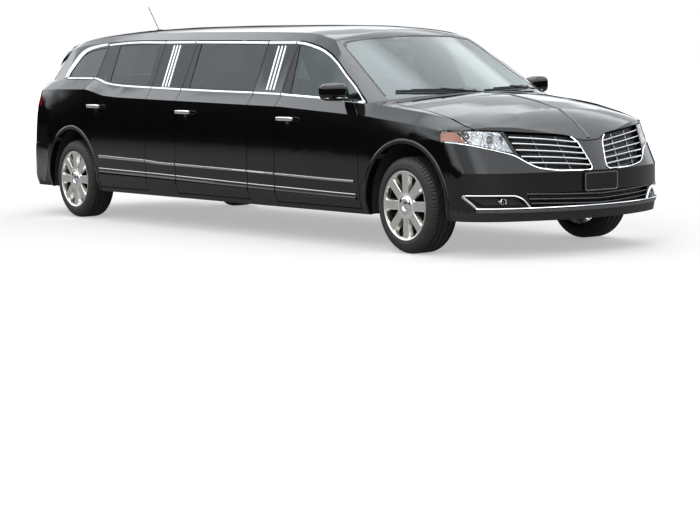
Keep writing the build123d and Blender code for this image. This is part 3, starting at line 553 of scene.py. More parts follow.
def finish(name):
    """The finish of a name, made when first asked for. It lies on Object coordinates: noise mixes the colour with its
    worn tone, which may be a little lighter, and varies the roughness, and finer noise is the bump."""
    if name in bpy.data.materials:
        return bpy.data.materials[name]
    m = bpy.data.materials.new(name)
    m.use_nodes = True
    t = m.node_tree
    _, colour, worn, rough, metal = LOOKS[name]
    grain, spread = GRAINS.get(name, PLAIN_GRAIN)
    if isinstance(colour, str):
        colour = tuple(getattr(bpy.context.scene.limousine_colours, colour))
        worn = worn and np.multiply(colour, worn)
    if worn is None:
        worn = [min(1, c * 1.25 + 0.001) for c in colour]
    shader = t.nodes["Principled BSDF"]
    place = node(t, "TexCoord", "Object")
    noise = node(t, "TexNoise", "Fac", {"Scale": grain, "Detail": 4.0, "Vector": place})
    tone = blend(t, noise, (*colour, 1), (*worn, 1))
    limits = {"To Min": max(0, rough - spread), "To Max": min(1, rough + spread)}
    feed(t, shader, {"Base Color": tone, "Roughness": ranged(t, noise, limits), "Metallic": metal})
    if name in BUMPS:
        high, scale = BUMPS[name]
        fine = node(t, "TexNoise", "Fac", {"Scale": scale, "Detail": 3.0, "Vector": place})
        lift = node(t, "Bump", "Normal", {"Strength": 1.0, "Distance": high, "Height": fine})
        feed(t, shader, {"Normal": lift})
    feed(t, shader, SOCKETS.get(name, {}))
    if name in ADDED:
        ADDED[name](t, shader, place, noise, tone)
    return m


def dusty(t, shader, place, noise, tone):
    """A breath of dust towards the sills."""
    height = node(t, "SeparateXYZ", "Z", {"Vector": place})
    low = ranged(t, height, {"From Min": 0.62, "From Max": 0.24, "To Max": 0.5})
    feed(t, shader, {"Base Color": blend(t, maths(t, "MULTIPLY", low, noise), tone, (0.014, 0.013, 0.012, 1))})


def grained(t, shader, place, noise, tone):
    """Leather's cells in place of the finer noise."""
    cells = node(t, "TexVoronoi", "Distance", {"Scale": 420.0, "Vector": place})
    feed(t, shader.inputs["Normal"].links[0].from_node, {"Height": cells})


def zoned(t, shader, place, noise, tone):
    """Red lamp lens: pale red with fine level lines over the bright line, deep red under it and at the outer tips, and
    clear patches beside the middle."""
    x = maths(t, "ABSOLUTE", node(t, "SeparateXYZ", "X", {"Vector": place}))
    z = node(t, "SeparateXYZ", "Z", {"Vector": place})
    lines = maths(t, "MULTIPLY_ADD", maths(t, "SINE", maths(t, "MULTIPLY", z, 2 * math.pi / 0.0085)), 0.5)
    upper = maths(t, "MULTIPLY", maths(t, "GREATER_THAN", z, 1.052), maths(t, "LESS_THAN", x, 0.835))
    pale = blend(t, lines, (0.34, 0.008, 0.020, 1), (0.52, 0.070, 0.10, 1))
    near_x = maths(t, "LESS_THAN", maths(t, "ABSOLUTE", maths(t, "SUBTRACT", x, 0.165)), 0.072)
    near_z = maths(t, "LESS_THAN", maths(t, "ABSOLUTE", maths(t, "SUBTRACT", z, 1.107)), 0.022)
    clear = maths(t, "MULTIPLY", maths(t, "MULTIPLY", near_x, near_z), maths(t, "MULTIPLY_ADD", lines, 0.55))
    feed(t, shader, {"Base Color": blend(t, upper, tone, blend(t, clear, pale, (0.80, 0.76, 0.76, 1)))})


ADDED = {PAINT: dusty, LEATHER: grained, RED_LENS: zoned}


# Pieces


def add_piece(name, part, finishes, body="body", index=None, sharp=38.0):
    """Makes one object of (vertices, faces), with doubles merged, faces turned out and edges over an angle sharp."""
    verts, faces = part
    mesh = bpy.data.meshes.new(name)
    mesh.from_pydata(np.asarray(verts, float).tolist(), [], faces)
    if index is not None:
        mesh.polygons.foreach_set("material_index", np.asarray(index, np.int32))
    tidy_mesh(mesh, True, 1e-6)
    return dress(name, mesh, finishes, body, sharp)


def tidy_mesh(mesh, recalculate, distance):
    """Merges doubles, drops faces of no area and may turn the faces out."""
    b = bmesh.new()
    b.from_mesh(mesh)
    bmesh.ops.remove_doubles(b, verts=b.verts, dist=distance)
    bmesh.ops.dissolve_degenerate(b, edges=b.edges, dist=distance)
    if recalculate:
        bmesh.ops.recalc_face_normals(b, faces=b.faces)
    b.to_mesh(mesh)
    b.free()


def values(items, key):
    """A three-number property of a mesh's vertices or faces as an array."""
    out = np.zeros(len(items) * 3, np.float32)
    items.foreach_get(key, out)
    return out.reshape(-1, 3)


def dress(name, mesh, finishes, body, sharp):
    """Puts a mesh in the scene with its finishes, smooth shading with edges over an angle sharp, and its body."""
    finishes = (finishes,) if isinstance(finishes, str) else finishes
    for key in finishes:
        mesh.materials.append(finish(key))
    mesh.polygons.foreach_set("use_smooth", np.ones(len(mesh.polygons), bool))
    mesh.set_sharp_from_angle(angle=math.radians(sharp))
    o = bpy.data.objects.new(name, mesh)
    bpy.context.scene.collection.objects.link(o)
    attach(o, body)
    return o


def smoothed_node(name, key, finishes, sharp=24.0, paint_faces=None):
    """A merged copy of a solid's mesh with smooth shading over its sections, standing for the solid."""
    source = NODES[name]
    mesh = source.data.copy()
    mesh.name = key
    mesh.materials.clear()
    if "custom_normal" in mesh.attributes:
        mesh.attributes.remove(mesh.attributes["custom_normal"])
    tidy_mesh(mesh, False, 2e-5)
    if paint_faces is not None:
        index = paint_faces(values(mesh.polygons, "center"), values(mesh.polygons, "normal"))
        mesh.polygons.foreach_set("material_index", np.asarray(index, np.int32))
    o = dress(key, mesh, finishes, source["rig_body"], sharp)
    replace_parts(o, name)
    return o


def coat(key, *names):
    """Puts one finish on solids that show as they are."""
    for name in names:
        NODES[name].data.materials.clear()
        NODES[name].data.materials.append(finish(key))


def side_pieces(name, parts, finishes):
    """Adds right-hand (body, part) pairs and their mirror images on the left; those on the body are one piece."""
    own = {body: [part for b, part in parts if b == body] for body in ("body", *DOORS)}
    if own["body"]:
        add_piece(f"{name}_body", both(joined(*own["body"])), finishes)
    for door in DOORS:
        if own[door]:
            part = joined(*own[door])
            add_piece(f"{name}_{door}_right", part, finishes, f"{door}_right")
            add_piece(f"{name}_{door}_left", mirrored(part), finishes, f"{door}_left")


TRIM_END, VALANCE_TOP = 3.3, 0.330
GRIP_ROOT, GRIP_FACE, GRIP_RISE = 0.9545, 0.9665, 0.0155
DOOR_TRIM_REACH = 0.93


def inward(c, n):
    """Whether faces look towards the middle of the car."""
    return n[:, 0] * np.sign(c[:, 0]) < -0.3


def trimmed_wall(c, n):
    """Inner faces of a wall between the nose and the tail are trim."""
    return inward(c, n) & (np.abs(c[:, 1]) < TRIM_END)


def trimmed_door(c, n):
    """The grip that stands off the skin is bright; faces towards the cabin are trim."""
    out, face = np.abs(c[:, 0]), np.abs(n[:, 0])
    level = HANDLES[np.abs(c[:, 1:2] - HANDLES[:, 0]).argmin(1), 1]
    grip = (out > GRIP_ROOT) & (np.abs(c[:, 2] - level) < GRIP_RISE) & ((face < 0.98) | (out > GRIP_FACE))
    return np.where(grip, 2, inward(c, n) & (out < DOOR_TRIM_REACH))


def lined(c, n):
    """Undersides have another finish."""
    return n[:, 2] < -0.3


def valance(c, n):
    """The bumper below its lip has another finish."""
    return c[:, 2] < VALANCE_TOP


class OBJECT_OT_limousine_skin(bpy.types.Operator):
    """Paints the outer panels, with trim, carpet and grained plastic on their inner faces"""

    bl_idname = "object.limousine_skin"
    bl_label = "Body skin"

    def execute(self, context):
        for name in ("body_side_left", "body_side_right"):
            smoothed_node(name, f"skin_{name}", (PAINT, PLASTIC), paint_faces=trimmed_wall)
        for door in DOORS:
            for side in ("left", "right"):
                name = f"{door}_{side}"
                smoothed_node(name, f"skin_{name}", (PAINT, PLASTIC, CHROME), 16.0, trimmed_door)
        smoothed_node("roof_panel", "skin_roof", (PAINT, "cabin_carpet"), paint_faces=lined)
        smoothed_node("bonnet", "skin_bonnet", (PAINT, PLASTIC), paint_faces=lined)
        smoothed_node("front_fenders", "skin_front_fenders", PAINT)
        for name in ("front_bumper", "rear_bumper"):
            smoothed_node(name, f"skin_{name}", (PAINT, PLASTIC), 9.0, valance)
        smoothed_node("liftgate", "skin_liftgate", PAINT)
        smoothed_node("cowl", "skin_cowl", PLASTIC)
        coat("underbody_sealer", "floor_pan", "wheel_liners", "fuel_tank")
        gear = ("front_subframe", "engine", "radiator", "rear_axle", "knuckle_left", "knuckle_right")
        coat("running_gear_steel", *gear)
        coat(PLASTIC, "dashboard", "antenna")
        return {"FINISHED"}


class OBJECT_OT_limousine_glass(bpy.types.Operator):
    """Tints the windows and screens"""

    bl_idname = "object.limousine_glass"
    bl_label = "Glass"

    def execute(self, context):
        for name in NODES:
            if name in ("windscreen", "glass_front_left", "glass_front_right"):
                coat("screen_glass", name)
            elif name.startswith("glass_") or name in ("quarter_windows", "liftgate_glass"):
                coat("privacy_glass", name)
        return {"FINISHED"}


FRAME_LINE = np.array((
    (-2.036, 1.083), (-1.854, 1.199), (-1.695, 1.287), (-1.542, 1.379), (-1.423, 1.435), (-1.332, 1.469),
    (-1.250, 1.493),
    (-1.130, 1.519), (-1.040, 1.533), (-0.931, 1.543), (-0.530, 1.548), (0.572, 1.566), (1.070, 1.570), (1.500, 1.577),
    (1.723, 1.575), (2.066, 1.561),
))
BELT_LINE = np.array((
    (-2.069, 1.081), (-1.912, 1.092), (-1.404, 1.114), (-0.923, 1.134), (-0.522, 1.144), (0.023, 1.153), (0.576, 1.165),
    (1.326, 1.184), (1.568, 1.192), (1.776, 1.203), (1.890, 1.216), (2.004, 1.240), (2.119, 1.257), (2.707, 1.257),
))
QUARTER_OUTER = np.array((
    (2.092, 1.567), (2.228, 1.563), (2.425, 1.545), (2.559, 1.521), (2.653, 1.478), (2.737, 1.389), (2.793, 1.312),
    (2.822, 1.252),
))
QUARTER_INNER = np.array((
    (2.092, 1.543), (2.232, 1.532), (2.402, 1.508), (2.500, 1.484), (2.590, 1.440), (2.664, 1.360), (2.704, 1.310),
    (2.722, 1.270),
))
# y, upper z, lower z
MOULDING = np.array((
    (-1.988, 0.514, 0.494), (-1.679, 0.517, 0.496), (-0.488, 0.538, 0.520), (0.828, 0.557, 0.533),
    (1.083, 0.570, 0.545), (1.878, 0.586, 0.557),
))
THIN_LINE = np.array(((-2.004, 0.408), (-1.672, 0.412), (-0.489, 0.430), (0.838, 0.454), (1.890, 0.468)))
# Where the belt strip of the last door ends, past its window
DOOR_BELT_END = 2.128
ROLL_FOOT = 0.360
PATH_STEP = 0.03
# Bright slats: middle y, lowest and highest z
SLATS = ((-0.758, 1.168, 1.510), (0.842, 1.188, 1.534))
SLAT_PITCH = 0.048
SLAT_LEAN = 0.018
GRIP_HALF = 0.1155
GRIP_X = -0.9865


def level_strip(line, width, proud):
    """A strip of one height along a line on the flank."""
    half = np.array((0.0, width / 2))
    return strip(line + half, line - half, proud, flank)


def within(table, start, end):
    """The part of a line on the flank between two places along y, where it has one."""
    return cut_line(table, max(start, table[0, 0]), min(end, table[-1, 0]))


class OBJECT_OT_limousine_trim(bpy.types.Operator):
    """Lays the bright window surround, belt strip, side mouldings and pillar slats on the flanks"""

    bl_idname = "object.limousine_trim"
    bl_label = "Bright trim"

    def execute(self, context):
        sizes = context.scene.limousine_sizes
        frames, belts, bars, lines, rolls, grips, slats = [], [], [], [], [], [], []
        for body, start, low_end, high_end in STRETCHES:
            line = cut_line(BELT_LINE, start, DOOR_BELT_END if body == "door_rear" else high_end)
            belts.append((body, level_strip(resample(line, PATH_STEP), sizes.belt_width, sizes.trim_proud)))
            if start > DOOR_BELT_END:
                continue
            line = resample(cut_line(FRAME_LINE, start, high_end), PATH_STEP)
            width = np.interp(line[:, 0], (-2.1, -1.4, -1.2), (0.014, 0.016, sizes.frame_width))
            frames.append((body, strip(line, offset_line(line, width), sizes.trim_proud, flank)))
            band = within(MOULDING, start, low_end)
            high, low = (resample(band[:, (0, k)], PATH_STEP) for k in (1, 2))
            bars.append((body, strip(high, low, 0.007, flank)))
            line = resample(within(THIN_LINE, start, low_end), PATH_STEP)
            lines.append((body, level_strip(line, 0.009, 0.005)))
            rolls.append((body, roll(line - (0.0, 0.016), cols(line[:, 0], ROLL_FOOT), 0.011, flank)))
        outer, inner = (counted(smooth_line(line, 0.02), 60) for line in (QUARTER_OUTER, QUARTER_INNER))
        frames.append(("body", strip(outer, inner, sizes.trim_proud, flank, 1.1)))
        side_pieces("window_surround", frames, CHROME)
        side_pieces("belt_strip", belts, CHROME)
        side_pieces("side_moulding", bars, "satin_moulding")
        side_pieces("sill_line", lines, CHROME)
        side_pieces("rocker_roll", rolls, PAINT)
        along = np.linspace(-1, 1, 25)
        size = np.sqrt(np.maximum(1 - np.abs(along) ** 6, 0.0)) * 0.86 + 0.14
        for (y, z), door in zip(HANDLES, DOORS):
            path = cols(GRIP_X - 0.003 * (1 - along**2), y + GRIP_HALF * along, z)
            grips.append((door, sweep(path, rounded(0.023, 0.032, 0.0095)[None] * size[:, None, None])))
        side_pieces("door_grip", grips, CHROME)
        half = sizes.slat_width / 2
        for middle, low_z, high_z in SLATS:
            for aside in (-SLAT_PITCH, 0.0, SLAT_PITCH):
                y, z = middle + aside + np.linspace(0, SLAT_LEAN, 12), np.linspace(low_z, high_z, 12)
                slats.append(strip(cols(y + half, z), cols(y - half, z), 0.006, flank))
        add_piece("pillar_slats", both(joined(*slats)), CHROME)
        return {"FINISHED"}


GRILLE_LOW = (
    (0.060, 0.606), (0.245, 0.606), (0.341, 0.611), (0.484, 0.632), (0.545, 0.672), (0.585, 0.722), (0.628, 0.883),
)
GRILLE_HIGH = (
    (0.060, 0.606), (0.116, 0.816), (0.136, 0.8265), (0.190, 0.8425), (0.270, 0.8535), (0.370, 0.8615), (0.460, 0.8685),
    (0.550, 0.8765), (0.628, 0.883),
)
GRILLE_BARS = (
    # inner x, inner z, outer x, outer z
    (0.118, 0.799, 0.606, 0.850), (0.106, 0.7607, 0.596, 0.808), (0.096, 0.7216, 0.585, 0.7625),
    (0.086, 0.6819, 0.567, 0.717),
    (0.076, 0.6427, 0.530, 0.6733),
)
GRILLE_UPRIGHTS = (((0.448, 0.860), (0.410, 0.632)), ((0.269, 0.846), (0.229, 0.612)))
GRILLE_EDGE = (
    (0.160, 0.834), (0.132, 0.820), (0.113, 0.792), (0.063, 0.622), (0.070, 0.603), (0.110, 0.6015), (0.341, 0.6065),
    (0.484, 0.628), (0.548, 0.668), (0.604, 0.716), (0.706, 0.750), (0.774, 0.774), (0.832, 0.795), (0.900, 0.814),
)
GRILLE_MIDDLE, GRILLE_TIP = 0.070, 0.628
LAMP_LOW = ((0.609, 0.740), (0.706, 0.761), (0.774, 0.785), (0.832, 0.805), (0.912, 0.819))
LAMP_HIGH = ((0.609, 0.744), (0.651, 0.880), (0.709, 0.886), (0.790, 0.891), (0.898, 0.890), (0.912, 0.862))
MARKER_LOW = ((0.842, 0.809), (0.912, 0.822))
MARKER_HIGH = ((0.842, 0.820), (0.866, 0.888), (0.896, 0.887), (0.912, 0.862))
FOG_LOW = ((0.556, 0.363), (0.826, 0.363), (0.884, 0.440))
FOG_HIGH = ((0.556, 0.365), (0.590, 0.407), (0.642, 0.437), (0.884, 0.443))
FOG_EDGE = ((0.842, 0.357), (0.892, 0.446), (0.760, 0.446), (0.640, 0.443), (0.592, 0.416), (0.550, 0.358))
PROJECTOR = (0.706, 0.829)
SCREEN_EDGE = ((0.0, 1.571), (0.400, 1.557), (0.600, 1.531), (0.632, 1.508), (0.738, 1.130))
FOG_LAMP = (0.694, 0.402)
INTAKE_LOW = ((-0.572, 0.450), (-0.536, 0.362), (0.536, 0.362), (0.572, 0.450))
INTAKE_HIGH = ((-0.572, 0.456), (0.572, 0.456))
# Bars in the intake: height of the middle, half-width
INTAKE_BARS = ((0.434, 0.571), (0.400, 0.556), (0.369, 0.542))
LIP_HALF = 0.842
# Wiper blades on the screen: start, end, pivot
WIPERS = ((-0.650, -0.060, (0.010, 1.112)), (0.020, 0.600, (0.655, 1.118)))
MIRROR_FACE = (-0.990, -1.7345, 1.162)
MIRROR_LEVEL = 1.119
MIRROR_SECTIONS = np.array((
    # x, middle y, middle z, depth, height, corner radius
    (-1.092, -1.774, 1.164, 0.058, 0.080, 0.022), (-1.070, -1.784, 1.164, 0.106, 0.116, 0.038),
    (-0.985, -1.792, 1.163, 0.130, 0.134, 0.046), (-0.908, -1.796, 1.158, 0.116, 0.118, 0.040),
    (-0.886, -1.796, 1.154, 0.084, 0.088, 0.028),
))


def lamp_bowl(low, high, start, end, columns, rows, floor, deep):
    """Faceted bowl under a lamp cover: depth = floor + (deep * sqrt(sin(pi * share)) + a ripple by column and row) * a
    ramp from both ends."""

    def depth(x, s):
        ramp = np.clip((x - start) / 0.05, 0, 1) * np.clip((end - x) / 0.05, 0, 1)
        i, j = np.meshgrid(np.arange(columns), np.arange(rows), indexing="ij")
        ripple = 0.0035 * np.sin(2.4 * i + 1.3 * j)
        return floor + (deep * np.sqrt(np.clip(np.sin(math.pi * s), 0, 1)) + ripple) * ramp

    return region(low, high, np.linspace(start, end, columns), np.linspace(0, 1, rows), right_nose, depth)


def fog_depth(x, s):
    """Depth of a fog lamp's pocket: a flat floor with ramps at its edges and ends."""
    across = np.minimum(1, np.clip(np.sin(math.pi * s), 0, 1) * 2.2)
    return 0.001 + 0.046 * across * np.clip((x - 0.556) / 0.04, 0, 1) * np.clip((0.884 - x) / 0.05, 0, 1)


def ribs(floor, number):
    """Depth of fine level ribs: a square wave up the height."""
    return lambda x, s: floor + 0.003 * np.sign(np.sin(s * 2 * number * math.pi))


def round_lamp(x, z, r, back):
    """A forward-facing bezel of radius r, its dished reflector and a domed lens, at (x, z) on the right, its rim back
    behind the nose."""
    centre = (-x, float(nose_y(x, z)) + back, z)
    shapes = (
        (48, ((0, 0.86), (-0.004, 0.92), (-0.002, 1.04), (0.004, 1.10), (0.030, 1.10), (0.030, 0.86), (0, 0.86))),
        (48, ((0.004, 0.88), (0.016, 0.70), (0.024, 0.45), (0.026, 0))),
        (40, ((-0.004, 0), (-0.002, 0.30), (0.004, 0.50), (0.013, 0.62), (0.020, 0.62), (0.020, 0))),
    )
    bezel, dish, dome = (turned([(a, r * share) for a, share in line], n, centre, "y") for n, line in shapes)
    return joined(bezel, dish), dome


def plate(name, centre_y, z, outward, height):
    """A blank number plate: a thin panel with rounded corners and a raised rim, standing on its pad."""
    face = rounded(0.302, height, 0.012)
    rim = rounded(0.306, height + 0.004, 0.013)
    rows = ((rim, 0.0), (rim, 0.0035), (face - np.sign(face) * 0.004, 0.0035), (face - np.sign(face) * 0.005, 0.0022))
    v, f = lattice(np.stack([cols(p[:, 0], centre_y + outward * d, p[:, 1] + z) for p, d in rows]))
    add_piece(name, (v, f), ("plate_rim", "blank_plate"), "body", [0] * (len(f) - 1) + [1], 20.0)


def keep_faces(obj, index, thickness):
    """Keeps the faces of one finish and gives them an inward thickness."""
    b = bmesh.new()
    b.from_mesh(obj.data)
    bmesh.ops.delete(b, geom=[f for f in b.faces if f.material_index != index], context="FACES")
    b.to_mesh(obj.data)
    b.free()
    thick = obj.modifiers.new("thickness", "SOLIDIFY")
    thick.thickness = thickness
    thick.offset = -1.0


def lamp_cover(c, n):
    """Outer faces of the lamp are its cover; the rest are the housing."""
    return n[:, 0] * np.sign(c[:, 0]) * 0.6 - n[:, 1] * 0.8 <= 0.45


def mirror_head(c, n):
    """The foot and the head's lower quarter are plastic, the rest is paint."""
    return (c[:, 2] < MIRROR_LEVEL) | (np.abs(c[:, 0]) < 0.884)


def mirror_band():
    """Thin bright line round the front of a mirror head at one height: each section's half-depth there is d/2 - r +
    sqrt(r^2 - rise^2) in its corner."""
    x = np.linspace(-1.084, -0.892, 26)
    y, z, depth, height, radius = row(MIRROR_SECTIONS, x)
    rise = np.clip(np.abs(MIRROR_LEVEL - z) - (height / 2 - radius), 0, radius * 0.999)
    half = depth / 2 - radius + np.sqrt(radius**2 - rise**2)
    return sweep(cols(x, y - half - 0.0005, MIRROR_LEVEL), rounded(0.006, 0.007, 0.0025, 3))


class OBJECT_OT_limousine_front(bpy.types.Operator):
    """Fits the split grille, headlamps, fog lamps, lower bars, lip, plate, mirrors and wipers"""

    bl_idname = "object.limousine_front"
    bl_label = "Nose, lamps and mirrors"

    def execute(self, context):
        xs = np.linspace(GRILLE_MIDDLE, GRILLE_TIP, 48)
        xs = np.unique(np.concatenate((xs, [p[0] for p in GRILLE_LOW + GRILLE_HIGH])))
        back = region(GRILLE_LOW, GRILLE_HIGH, xs, np.linspace(0, 1, 81), right_nose, ribs(0.036, 20))
        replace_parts(add_piece("grille_ribs", both(back), PLASTIC, sharp=20.0), "grille")
        t = np.linspace(0, 1, 22)
        bars = []
        for inner_x, inner_z, outer_x, outer_z in GRILLE_BARS[: context.scene.limousine_sizes.grille_bars]:
            z = inner_z + (outer_z - inner_z) * t + 0.004 * np.sin(math.pi * t)
            bars.append(blade(right_nose(inner_x + (outer_x - inner_x) * t, z, -0.012), 0.024, 0.0105))
        add_piece("grille_bars", both(joined(*bars)), CHROME)
        posts = [
            blade(right_nose(*smooth_line(p, 0.02, 0).T, -0.028), 0.005, 0.010, (1, 0, 0)) for p in GRILLE_UPRIGHTS
        ]
        add_piece("grille_uprights", both(joined(*posts)), DARK_TRIM)
        add_piece("grille_outline", both(ribbon(GRILLE_EDGE, 0.0085, 0.0045, right_nose)), CHROME)
        self.lamps()
        self.lower()
        plate("front_plate", -3.6342, 0.520, -1, 0.124)
        y = np.concatenate((np.linspace(-3.503, -3.20, 40), np.linspace(-3.18, -2.430, 30)))
        ridge = strip(cols(-0.014, y), cols(0.014, y), 0.0045, on_bonnet, 1.5)
        add_piece("bonnet_ridge", ridge, PAINT, "bonnet")
        add_piece("screen_seal", both(ribbon(SCREEN_EDGE, 0.013, 0.003, on_screen)), PLASTIC)
        wipers = []
        for start, end, (pivot_x, pivot_z) in WIPERS:
            x = np.linspace(start, end, 24)
            z = np.interp(np.abs(x), (0.0, 0.66), (1.134, 1.148)) + 0.004
            wipers.append(blade(on_screen(x, z, 0.010), 0.008, 0.018))
            wipers.append(blade(on_screen(x[4:20], z[4:20] + 0.004, 0.020), 0.010, 0.010))
            arm = np.linspace((pivot_x, pivot_z + 0.010), (x[12], z[12] + 0.006), 12)
            wipers.append(blade(on_screen(*arm.T, np.linspace(0.014, 0.026, 12)), 0.012, 0.012))
        add_piece("screen_wipers", joined(*wipers), PLASTIC)
        v, f = box_of(0.142, 0.084, 0.004, 0.026, (0, 0, 0), 5)
        for side, flip in (("right", as_is), ("left", mirrored)):
            door = f"door_front_{side}"
            smoothed_node(f"door_mirror_{side}", f"mirror_{side}", (PAINT, PLASTIC), 40.0, mirror_head)
            add_piece(f"mirror_band_{side}", flip(mirror_band()), CHROME, door)
            add_piece(f"mirror_glass_{side}", flip((v[:, (0, 2, 1)] + MIRROR_FACE, f)), "mirror_silver", door)
        return {"FINISHED"}

    def lamps(self):
        """Headlamp covers with what lies behind them."""
        cover = smoothed_node("headlamps", "headlamp_cover", ("clear_lens", PLASTIC), paint_faces=lamp_cover)
        keep_faces(cover, 0, 0.003)
        bowl = lamp_bowl(LAMP_LOW, LAMP_HIGH, 0.611, 0.908, 38, 11, 0.008, 0.062)
        add_piece("headlamp_reflector", both(bowl), "lamp_reflector", sharp=1.0)
        bezel, dome = round_lamp(*PROJECTOR, 0.034, 0.040)
        add_piece("headlamp_projector", both(bezel), CHROME)
        add_piece("headlamp_lens", both(dome), "projector_glass")
        xs, shares = np.linspace(0.843, 0.908, 10), np.linspace(0.04, 0.96, 7)
        marker = region(MARKER_LOW, MARKER_HIGH, xs, shares, right_nose, lambda x, s: 0.006)
        add_piece("side_marker", both(marker), "amber_lens")
        path = right_nose(np.array((0.862, 0.846, 0.830)), np.array((0.884, 0.846, 0.809)), -0.0075)
        add_piece("headlamp_divider", both(blade(path, 0.006, 0.014, (1, 0, 0))), PLASTIC)

    def lower(self):
        """Intake, fog lamps and lip under the grille."""
        xs = np.linspace(-0.570, 0.570, 60)
        mesh = region(INTAKE_LOW, INTAKE_HIGH, xs, np.linspace(0, 1, 25), on_nose, ribs(0.038, 12))
        pocket = region(FOG_LOW, FOG_HIGH, np.linspace(0.558, 0.882, 30), np.linspace(0, 1, 13), right_nose, fog_depth)
        o = add_piece("lower_mesh", joined(mesh, both(pocket)), PLASTIC, sharp=20.0)
        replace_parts(o, "lower_grille")
        share = np.linspace(-1, 1, 40)
        bars = [
            blade(on_nose(reach * share, z + 0.019 * np.abs(share), -0.006), 0.016, 0.0055) for z, reach in INTAKE_BARS
        ]
        add_piece("lower_bars", joined(*bars), DARK_TRIM)
        bezel, dome = round_lamp(*FOG_LAMP, 0.027, 0.036)
        add_piece("fog_lamp_bezels", both(bezel), CHROME)
        add_piece("fog_lamp_lenses", both(dome), "clear_lens")
        add_piece("fog_trim", both(ribbon(FOG_EDGE, 0.011, 0.006, right_nose, step=0.012)), CHROME)
        x = np.linspace(-LIP_HALF, LIP_HALF, 90)
        add_piece("lip_trim", strip(cols(x, 0.359), cols(x, 0.351), 0.009, on_nose, 1.3), CHROME)
        band = strip(cols(x, 0.350), cols(x, 0.321 + 0.004 * np.abs(x)), 0.007, on_nose, 1.3)
        add_piece("lip_band", band, DARK_TRIM)


# Lines of (x, z) on the tail, right of its middle
BUMPER_CREASES = (
    ((0.350, 0.502), (0.600, 0.514), (0.780, 0.534), (0.900, 0.545), (0.950, 0.548)),
    ((0.300, 0.646), (0.620, 0.650), (0.800, 0.654)),
)
LAMP_BAR_LINE = ((0.062, 1.052), (0.400, 1.051), (0.680, 1.046))
GATE_SEAL = ((0.0, 1.252), (0.40, 1.250), (0.672, 1.243))
REFLECTOR_TOP = ((0.321, 0.633), (0.620, 0.636))
REFLECTOR_FOOT = ((0.326, 0.600), (0.612, 0.604))
PIPE = (0.618, 0.333)
PIPE_MOUTH = 3.388


def sooty(c, n):
    """Faces of an exhaust tip that look towards its axis, or lie ahead of its mouth."""
    side = np.sign(c[:, 0])
    inside = n[:, 0] * (np.abs(c[:, 0]) - PIPE[0]) * side + n[:, 2] * (c[:, 2] - PIPE[1]) < -0.001
    return inside | (c[:, 1] < PIPE_MOUTH)


class OBJECT_OT_limousine_rear(bpy.types.Operator):
    """Fits the lamp bar, tail lamps, reflectors, plate, wiper and exhaust tips"""

    bl_idname = "object.limousine_rear"
    bl_label = "Tail, lamps and wiper"

    def execute(self, context):
        smoothed_node("liftgate_lamp", "lamp_bar", RED_LENS, 30.0)
        smoothed_node("tail_lamps", "tail_lamp_lenses", RED_LENS, 30.0)
        line = ribbon(LAMP_BAR_LINE, 0.009, 0.004, right_tail)
        add_piece("lamp_bar_line", both(line), CHROME, "liftgate")
        reflector = strip(np.linspace(*REFLECTOR_TOP, 16), np.linspace(*REFLECTOR_FOOT, 16), 0.004, right_tail, 1.3)
        add_piece("bumper_reflectors", both(reflector), RED_LENS)
        creases = [ribbon(line, 0.006, 0.0015, right_tail) for line in BUMPER_CREASES]
        add_piece("bumper_creases", both(joined(*creases)), PLASTIC)
        plate("rear_plate", 3.6412, 0.526, 1, 0.154)
        smoothed_node("exhaust_tips", "exhaust_tip_skins", (CHROME, "sooty_steel"), 40.0, sooty)
        x, z = np.linspace((-0.443, 1.290), (-0.030, 1.303), 20).T
        edge = blade(on_gate_glass(x, z, 0.009), 0.008, 0.018)
        spine = blade(on_gate_glass(x[2:], z[2:] + 0.003, np.linspace(0.018, 0.030, 18)), 0.018, 0.014)
        hub = on_gate_glass(*np.linspace((-0.160, 1.308), (0.070, 1.296), 14).T, 0.016)
        v, f = sweep(hub, rounded(0.034, 0.052, 0.014))
        grow = np.sin(np.linspace(0.25, math.pi - 0.35, 14)).repeat(16)[:, None]
        middle = v.reshape(14, 16, 3).mean(1).repeat(16, 0)
        wiper = joined(edge, spine, (middle + (v - middle) * grow, f))
        add_piece("rear_wiper", wiper, PLASTIC, "liftgate")
        seal = ribbon(GATE_SEAL, 0.008, 0.003, right_tail)
        add_piece("gate_glass_seal", both(seal), PLASTIC, "liftgate")
        return {"FINISHED"}


ARCH_RADII = {"front": 0.449, "rear": 0.454}
ARCH_LIP = 0.034


class OBJECT_OT_limousine_arches(bpy.types.Operator):
    """Rolls a soft painted lip round each wheel arch"""

    bl_idname = "object.limousine_arches"
    bl_label = "Arch lips"

    def execute(self, context):
        t = np.radians(np.linspace(-10, 190, 90))
        lips = []
        for end, radius in ARCH_RADII.items():
            near, far = (cols(HUBS[end] + r * np.cos(t), HUB_Z + r * np.sin(t)) for r in (radius, radius + ARCH_LIP))
            lips.append(strip(near, far, 0.0045, flank, 1.15))
        add_piece("arch_lips", both(joined(*lips)), PAINT, sharp=60.0)
        return {"FINISHED"}


